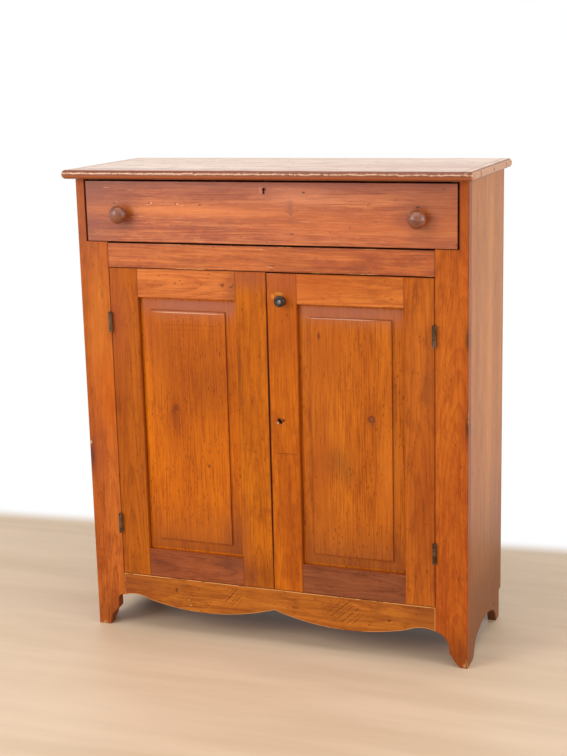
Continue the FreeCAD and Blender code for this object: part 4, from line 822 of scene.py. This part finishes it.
top_end_pine = pine(
    "top end pine", "yxz", (214, 152, 106), (242, 194, 148), (134, 74, 40), 12.6,
    heart=(0.5, 0.7), ring_gap=0.004, tilt=0.02, line_strength=0.4, mottling=0.8, worn=(232, 180, 136),
    smudges=[(y, x, 3.4, 3.6, 72, 38, 22, 85) for x in (-511.5, 511.5) for y in (-126, 8, 142)],
    # (240, 190, 150) below is the colour of the painted highlight along the rounded edge.
    soil=(96, 48, 26), cut=(112, 54, 26), cut_strength=0.95, rubbed_highlight=(240, 190, 150), gloss=0.34,
    sheen=0.5, coat=0.4, wear=0.2, grime=0.6, bump=0.6)
boards(top_pine, "top_board", eased=0.0004)
boards(top_end_pine, "top_end_left", "top_end_right", eased=0.0004, band=0.003)


# ---- The top's nails -------------------------------------------------------------------------------
# Cut nails: three through each end strip's rounded edge, punched below the face in square holes, and three
# down through the top board over each side board, with their flat heads flush.

top_nail_iron = old_iron("cut nail iron", (44, 36, 32), (74, 62, 54), (78, 46, 30), 0.6)
end_head, edge_middle, face_head = 0.5077, 1.169, 1.17849
end_stations = [((side * end_head, y, edge_middle), (side, 0.0, 0.0))
                for side in (-1.0, 1.0) for y in (-0.126, 0.008, 0.142)]
down_stations = [((x, y, face_head), (0.0, 0.0, 1.0))
                 for x in (-0.47625, 0.481) for y in (-0.101, 0.033, 0.167)]
fastened("top_end_nails_driven", end_stations, top_nail_iron, "case", "top_nails", Head_Radius=0.0032,
         Head_Height=0.0015, Head_Sides=4, Crown=0.86, Shank_Radius=0.0029, Shank_Sides=4, Length=0.0445,
         Tip=0.4)
fastened("top_nails_driven", down_stations, top_nail_iron, "case", "top_nails", Head_Radius=0.00318,
         Head_Height=0.0015, Head_Sides=4, Crown=0.96, Stretch=1.333, Shank_Radius=0.0021, Shank_Sides=4,
         Length=0.0485, Tip=0.4)


# ---- The hinges ------------------------------------------------------------------------------------
# Two cast butt hinges to a door, let into the edges of the stiles so that only the knuckles show. The iron
# has rusted to a dull olive brown, with old varnish on it.

hinge_iron = old_iron("hinge iron", (74, 58, 46), (116, 96, 78), (102, 64, 40), 0.5)


def dressed(finish, *nodes):
    """Gives solids that stay as they are their finish."""
    for node in nodes:
        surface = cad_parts[node].data.materials
        surface.clear()
        surface.append(finish)


dressed(hinge_iron, "hinge_leaves_left", "hinge_leaves_right", "left_door_leaves", "right_door_leaves",
        "hinge_pins")


# ---- The hinge screws ------------------------------------------------------------------------------
# Slotted countersunk screws, two to a leaf, turned home by hand, so that every slot stands at its own
# angle. The case carries eight of them and each door four.

screw_iron = old_iron("screw iron", (70, 60, 52), (124, 112, 98), (84, 54, 38), 0.42)
screw_line, hinge_middles, off_middle = -0.1589, (0.2825, 0.8047), 0.016
screw_heights = [middle + step for middle in hinge_middles for step in (-off_middle, off_middle)]
for body, node, faces, seed in (("case", "hinge_screws", ((0.41655, -1.0), (-0.41055, 1.0)), 3),
                                ("left_door", "left_door_screws", ((-0.40725, -1.0),), 5),
                                ("right_door", "right_door_screws", ((0.41325, 1.0),), 8)):
    stations = [((x, screw_line, z), (way, 0.0, 0.0)) for x, way in faces for z in screw_heights]
    fastened(node + "_turned", stations, screw_iron, body, node, Head_Radius=0.0017, Head_Height=0.0016,
             Head_Sides=16, Crown=1.93, Shank_Radius=0.0017, Shank_Sides=8, Length=0.0124, Tip=0.25,
             Slotted=True, Most_Turn=3.1, Seed=seed)


# ---- The doors -------------------------------------------------------------------------------------
# Each door is two stiles and two rails, mortised together, round a panel whose edges are bevelled
# down to a tongue. The shoulders round each field are darkened as painted shade, with a painted highlight
# along the field's top edge and painted sheen on the upper bevel, and the lower parts are painted darker
# towards the floor as painted shade.

door_parts = (
    ("left_door_hinge_stile", "zxy", (170, 82, 8), (196, 104, 15), (119, 47, 5), 1.2, (-0.37, -0.09), ()),
    ("left_door_meeting_stile", "zxy", (192, 99, 6), (222, 124, 11), (138, 59, 6), 3.9, (-0.03, -0.10), ()),
    ("left_door_top_rail", "xzy", (203, 109, 48), (225, 132, 66), (150, 66, 29), 5.1, (0.9, -0.07),
     ((-107, 905, 4, 3),)),
    # The bottom rails get darker colours than the top rails, in part painted shade towards the floor.
    ("left_door_bottom_rail", "xzy", (154, 77, 40), (179, 99, 54), (105, 45, 24), 7.7, (0.18, -0.05), ()),
    ("left_door_panel", "zxy", (216, 111, 7), (245, 136, 16), (148, 62, 5), 9.4, (-0.20, -0.14),
     ((594, -244, 6, 5.5), (450, -160, 3, 2.5))),
    ("right_door_hinge_stile", "zxy", (181, 87, 18), (206, 111, 29), (125, 50, 11), 11.5, (0.38, -0.10), ()),
    ("right_door_meeting_stile", "zxy", (197, 99, 7), (226, 124, 15), (139, 58, 6), 13.8, (0.04, -0.09), ()),
    ("right_door_top_rail", "xzy", (206, 112, 41), (230, 135, 60), (150, 67, 24), 15.2, (0.9, -0.06), ()),
    # Darker than the top rail, in part painted shade towards the floor.
    ("right_door_bottom_rail", "xzy", (134, 69, 38), (158, 89, 53), (93, 41, 24), 17.6, (0.18, -0.05), ()),
    ("right_door_panel", "zxy", (195, 100, 13), (223, 126, 27), (134, 55, 10), 19.3, (0.20, -0.13),
     ((597, 261, 7, 6.5),)),
)
door_smudges = {
    "left_door_panel": (
        (741, -263, 100, 22, 140, 62, 22, 45), (788, -149, 50, 70, 140, 62, 24, 35),
        # The mark at 833.2 is a painted highlight along the top edge of the field.
        (833.2, -205, 1.8, 98, 252, 204, 170, 95), (620, -335, 240, 2, 104, 46, 16, 40),
        (648, -155, 6, 1.4, 84, 34, 10, 80), (642, -140, 5, 1.6, 84, 34, 10, 80),
        (735, -122, 8, 1.3, 88, 36, 10, 80), (690, -118, 6, 1.3, 88, 36, 10, 70),
        (655, -190, 4, 1.3, 84, 34, 10, 70), (585, -253, 6, 3, 96, 56, 40, 50),
        # The mark at 855 lightens the panel's upper bevel: painted sheen.
        (855, -200, 16, 140, 178, 110, 88, 85), (790, -338, 70, 6, 166, 80, 34, 70),
        # The mark at 240 darkens the lower field: painted shade.
        (790, -306, 50, 14, 172, 80, 30, 60), (240, -90, 60, 20, 122, 66, 44, 50),
        (660, -160, 50, 40, 124, 50, 12, 50), (803, -210, 1.2, 100, 140, 64, 24, 40),
        (791, -200, 1, 100, 140, 64, 24, 30), (570, -247, 20, 6, 110, 48, 16, 50),
        (550, -200, 150, 50, 140, 58, 10, 30)),
    "left_door_meeting_stile": (
        # The first mark darkens the stile along the gap between the doors: painted shade.
        (550, 3.4, 360, 1.3, 52, 22, 8, 85), (174, -59, 22, 14, 104, 52, 36, 55),
        (925, -50, 16, 50, 164, 84, 52, 70), (700, -70, 50, 4, 96, 40, 10, 50),
        (180, -10, 30, 12, 110, 46, 14, 50), (250, -75, 60, 12, 150, 72, 36, 60)),
    "left_door_top_rail": (
        (-76, 896, 14, 30, 124, 58, 30, 50), (-84.7, 901.8, 6, 2.2, 96, 50, 26, 70),
        (-79, 906.5, 4, 2, 110, 56, 26, 60), (-231.4, 906.8, 2.5, 2.2, 120, 56, 22, 50),
        (-214, 904.8, 2, 1.4, 96, 40, 14, 70), (-270, 900, 1.8, 1.4, 96, 40, 14, 70)),
    "left_door_bottom_rail": (
        (-108, 207, 30, 16, 88, 50, 38, 50), (-314, 183, 30, 12, 96, 50, 36, 40)),
    "left_door_hinge_stile": (
        (550, -390, 120, 12, 140, 56, 10, 40), (820, -390, 70, 20, 168, 80, 44, 50)),
    "right_door_top_rail": ((110, 915, 50, 30, 190, 92, 34, 60),),
    "right_door_panel": (
        # The mark at 834 is a painted highlight along the top edge of the field.
        (834, 185, 1.8, 92, 252, 204, 170, 95), (700, 145, 7, 1.3, 88, 36, 10, 80),
        (620, 190, 5, 1.3, 88, 36, 10, 70), (585, 262, 6, 3, 110, 70, 48, 60),
        (490, 172, 20, 18, 84, 52, 30, 35), (460, 196, 16, 12, 90, 54, 30, 30),
        # The mark at 852 lightens the panel's upper bevel: painted sheen.
        (852, 200, 14, 140, 176, 108, 84, 80), (750, 150, 50, 30, 172, 80, 20, 50),
        # The mark at 455 lightens the right-facing bevel: painted light.
        (792, 133, 10, 4, 106, 42, 12, 60), (455, 303, 60, 14, 220, 122, 36, 60),
        (480, 135, 90, 20, 160, 72, 20, 55)),
    "right_door_meeting_stile": (
        # The first mark darkens the stile along the gap between the doors: painted shade.
        (550, 7, 360, 1.3, 52, 22, 8, 85), (581.2, 41.2, 3.6, 4.2, 56, 28, 12, 85),
        (584, 27.5, 4.2, 4, 128, 74, 34, 70), (572, 34.5, 3, 6, 196, 108, 72, 60),
        (889.8, 38, 4.2, 12.5, 255, 178, 62, 90), (882.5, 21.2, 6.8, 4.4, 255, 170, 50, 85),
        (893.5, 44, 2.2, 1.6, 128, 56, 20, 70), (936.6, 20, 1.2, 14, 214, 168, 146, 70),
        (920, 45, 22, 50, 170, 84, 54, 65), (820, 45, 50, 30, 170, 78, 18, 60),
        (840, 56, 5, 3, 140, 62, 18, 60), (825, 44, 3, 2.6, 136, 58, 18, 60),
        (868, 52, 6, 6, 96, 44, 14, 50), (574.5, 26.5, 2.8, 3.5, 206, 178, 148, 90),
        (582, 34, 6, 7, 96, 40, 12, 60), (498.5, 45, 1, 30, 90, 40, 12, 70),
        (300, 50, 100, 12, 150, 62, 12, 40)),
    "right_door_hinge_stile": (
        (685, 400, 45, 9, 130, 66, 28, 40), (400, 390, 80, 14, 140, 58, 12, 40)),
}
for node, run, deep, pale, line, seed, heart, knots in door_parts:
    marks = door_smudges.get(node, ())
    door = node.split("_door")[0] + "_door"
    if node.endswith("panel"):
        # Every panel gets a broad mark that darkens its lower part: painted shade, darker towards the floor.
        marks = marks + ((215, 1000 * heart[0], 50, 500, 130, 66, 34, 60),)
        # On a panel the cut colour darkens the shoulders round the field: painted shade.
        finishing = {"dashes": (0.85, 0.27), "fibres": 0.65, "mottling": 0.35, "cut": (108, 38, 10),
                     "cut_strength": 0.9}
        making = {"eased_from": 4.0, "mitres": True}
    else:
        finishing = {"dashes": (0.4, 0.24), "mottling": 0.55, "cut": (150, 70, 24), "cut_strength": 0.55}
        making = {"holes": (("z", 0.5787), ("z", 0.874))} if node == "right_door_meeting_stile" else {}
    door_pine = pine(node.replace("_", " ") + " pine", run, deep, pale, line, seed, heart=heart, knots=knots,
                     smudges=marks, shown=-0.158, streak_strength=0.22, grime=0.45, soil=(126, 52, 12),
                     **finishing)
    boards(door_pine, node, body=door, **making)


# ---- The door lock ---------------------------------------------------------------------------------
# An iron box lock let into the edge of the right door, whose bolt shoots into the left door's stile.

lock_iron = old_iron("lock iron", (66, 62, 58), (112, 106, 98), (84, 58, 42), 0.42, 0.5)
dressed(lock_iron, "door_lock_case", "door_lock_bolt")


# ---- The door knob and its catch -------------------------------------------------------------------
# A small cast knob, dark in its hollow rim and lighter grey on its dome, with a painted glint, turns a
# spindle through the stile. On the spindle's inner end an iron bar swings behind the left door.

def cast_knob(name, middle, dark, dome_grey):
    """Dark cast metal, lighter grey on the dome, with a painted glint beside its middle."""
    finish, tree, known = new_finish(name)
    x, y, z = split(tree, known["Object"])
    beside, above = x - middle[0], z - middle[1]
    fine = clouds(tree, known["Object"], 4.0, 0.7, 500.0)
    broad = clouds(tree, known["Object"], 2.0, 0.5, 120.0)
    out = (beside * beside + above * above).root() + (broad - 0.5) * 0.004
    dome = (1.0 - out.rise(0.0024, 0.0068)) * (fine * 0.9 + 0.4).capped()
    colour = tinted(tree, dome, dark, dome_grey)
    colour = tinted(tree, fine.rise(0.55, 0.75) * 0.5, colour, (40, 30, 24))
    # Painted glint: a small bright spot up and to the right of the middle.
    beside, above = beside - 0.0022, above - 0.0016
    painted_glint = 1.0 - (beside * beside + above * above).root().rise(0.0007, 0.0017)
    colour = tinted(tree, painted_glint * 0.9, colour, (232, 228, 226))
    surfaced(finish, colour, fine * 0.2 + 0.12, fine, 0.3, 0.0002, Metallic=(dome * 0.7 + 0.2).capped())
    return finish


dressed(cast_knob("door knob metal", (0.044, 0.874), (42, 29, 22), (134, 126, 122)), "door_knob")
catch_iron = old_iron("catch iron", (60, 52, 46), (104, 94, 84), (86, 54, 36), 0.5)
dressed(catch_iron, "knob_spindle", "catch_bar")


# ---- The slide bolt --------------------------------------------------------------------------------
# A thin iron plate on the inside of the left door's meeting stile, with a bolt that slides up behind the
# rail to hold that door shut.

bolt_iron = old_iron("slide bolt iron", (58, 54, 50), (118, 112, 104), (90, 58, 40), 0.4, 0.55)
dressed(bolt_iron, "slide_bolt_plate", "slide_bolt")


# ---- The drawer ------------------------------------------------------------------------------------
# A thick front of flat-sawn pine, dovetailed to thin sides, with a bottom that slides into grooves.

drawer_pine = pine(
    "drawer front pine", "xzy", (178, 79, 25), (210, 108, 41), (126, 50, 17), 14.1,
    heart=(1.05, -0.11), ring_gap=0.0034, tilt=0.004, wander=0.02, pits=(0.4, 0.14), streak_strength=0.28,
    fibres=0.7, dashes=(0.45, 0.23), light=(228, 142, 82), bruises=0.35, scratch=0.3,
    knots=((71, 1086, 3.5, 10), (69, 1062, 2, 3)),
    smudges=(
        (0, 1148, 550, 14, 150, 78, 54, 60), (-460, 1080, 40, 90, 136, 68, 46, 75),
        (460, 1080, 50, 90, 150, 68, 16, 55), (-200, 1082, 160, 10, 228, 128, 56, 70),
        (250, 1050, 160, 18, 222, 118, 44, 50), (71, 1100, 6, 30, 132, 66, 44, 20),
        (90, 1118, 50, 12, 236, 150, 104, 50), (-405, 1136.2, 10, 1, 226, 146, 108, 80),
        (-403, 1138.5, 8, 0.8, 132, 66, 44, 60), (-340.7, 1130.3, 11, 0.9, 226, 144, 100, 70),
        (-345, 1132.5, 9, 0.8, 134, 68, 44, 60), (-385, 1098, 5, 2.2, 124, 60, 40, 60),
        (-378, 1101.5, 3, 2, 226, 150, 110, 60), (-291.5, 1099.4, 2.2, 3.5, 112, 54, 36, 70),
        (-286.2, 1099.2, 2.2, 3, 238, 170, 126, 80), (-294, 1095.5, 6, 0.9, 240, 172, 122, 60),
        (-222, 1099, 1.8, 3.8, 112, 54, 36, 70), (-217, 1097.5, 2.5, 2.2, 240, 174, 130, 80),
        (-205, 1094.5, 8, 0.9, 236, 164, 116, 60), (-330, 1070, 11, 3, 146, 72, 42, 50),
        (-316, 1067, 7, 1.2, 232, 152, 106, 60), (-338, 1065.5, 5, 1.2, 232, 152, 106, 50),
        (-130, 1095, 10, 0.8, 138, 66, 34, 60), (-20, 1090.5, 12, 0.8, 138, 66, 34, 50),
        (105, 1060.5, 16, 1, 244, 168, 112, 60), (100, 1058.5, 14, 0.8, 134, 62, 34, 60),
        (88, 1086, 1.6, 2.8, 112, 52, 34, 60), (62, 1084, 1.6, 2, 112, 52, 34, 60),
        (-150, 1068, 14, 0.8, 240, 160, 104, 50), (-3.5, 1132, 4.2, 10, 204, 128, 90, 60),
        (10.5, 1134.5, 2.4, 5.5, 96, 46, 30, 70), (-9, 1134, 0.8, 8, 120, 58, 38, 60),
        (-53.3, 1146.6, 1.6, 1.6, 48, 20, 12, 90), (66.6, 1147.5, 1.6, 1.6, 48, 20, 12, 90),
        (215.7, 1048.2, 1.8, 1.6, 64, 28, 14, 85), (244.2, 1025.8, 1.8, 1.6, 64, 28, 14, 85),
        (167.2, 1038.1, 1.8, 1.6, 64, 28, 14, 85), (278, 1063, 1.8, 1.6, 64, 28, 14, 85),
        (323.3, 1113.4, 1.8, 1.6, 64, 28, 14, 85), (259.4, 1099.1, 1.8, 1.6, 64, 28, 14, 85),
        (-367, 1072.5, 22, 22, 120, 54, 26, 50), (379, 1072.5, 22, 22, 112, 50, 24, 50)),
    gloss=0.30, sheen=0.5, coat=0.35)
boards(drawer_pine, "drawer_front", body="drawer", band=0.0045,
       holes=(("x", -0.367), ("x", 0.0054), ("x", 0.379)))
drawer_side_pine = pine(
    "drawer side pine", "yzx", (184, 130, 84), (210, 158, 110), (146, 96, 58), 16.9,
    heart=(1.0, 0.1), ring_gap=0.005, tilt=0.02, gloss=0.6, coat=0.0, worn=(218, 176, 130),
    soil=(118, 82, 56), cut=(164, 112, 72))
drawer_bottom_pine = pine(
    "drawer bottom pine", "xyz", (186, 134, 88), (212, 162, 114), (150, 100, 62), 18.2,
    heart=(0.0, 0.6), ring_gap=0.006, tilt=0.02, gloss=0.62, coat=0.0, worn=(218, 176, 130),
    soil=(118, 82, 56), cut=(164, 112, 72))
boards(drawer_side_pine, "drawer_side_left", "drawer_side_right", body="drawer", slot="pine_inside",
       eased=0.0005)
boards(drawer_bottom_pine, "drawer_back", "drawer_bottom", body="drawer", slot="pine_inside",
       eased=0.0005)


# ---- The drawer knobs ------------------------------------------------------------------------------
# Turned in a hard brown wood, with a tenon glued into the drawer front. Hands have kept them glossy.

def turned_wood(name, dark, light, line):
    """Close-grained hardwood off the lathe, polished by hands."""
    finish, tree, known = new_finish(name)
    x, y, z = split(tree, known["Object"])
    broad = clouds(tree, joined(tree, x * 30.0, y * 60.0, z * 160.0), 3.0, 0.6)
    fine = clouds(tree, joined(tree, x * 200.0, y * 500.0, z * 900.0), 3.0, 0.6)
    colour = tinted(tree, broad.rise(0.3, 0.7), dark, light)
    colour = tinted(tree, fine.rise(0.45, 0.75) * 0.5, colour, line)
    surfaced(finish, colour, fine * 0.12 + 0.34, fine, 0.25, 0.0003, Coat_Weight=0.5, Coat_Roughness=0.26)
    return finish


knob_brown = turned_wood("knob wood", (112, 54, 30), (152, 84, 50), (78, 36, 20))
dressed(knob_brown, "drawer_knob_left", "drawer_knob_right")


# ---- The drawer lock -------------------------------------------------------------------------------
# A box lock let into the back of the drawer front, whose bolt shoots up into the top board.

dressed(lock_iron, "drawer_lock_case", "drawer_lock_bolt")
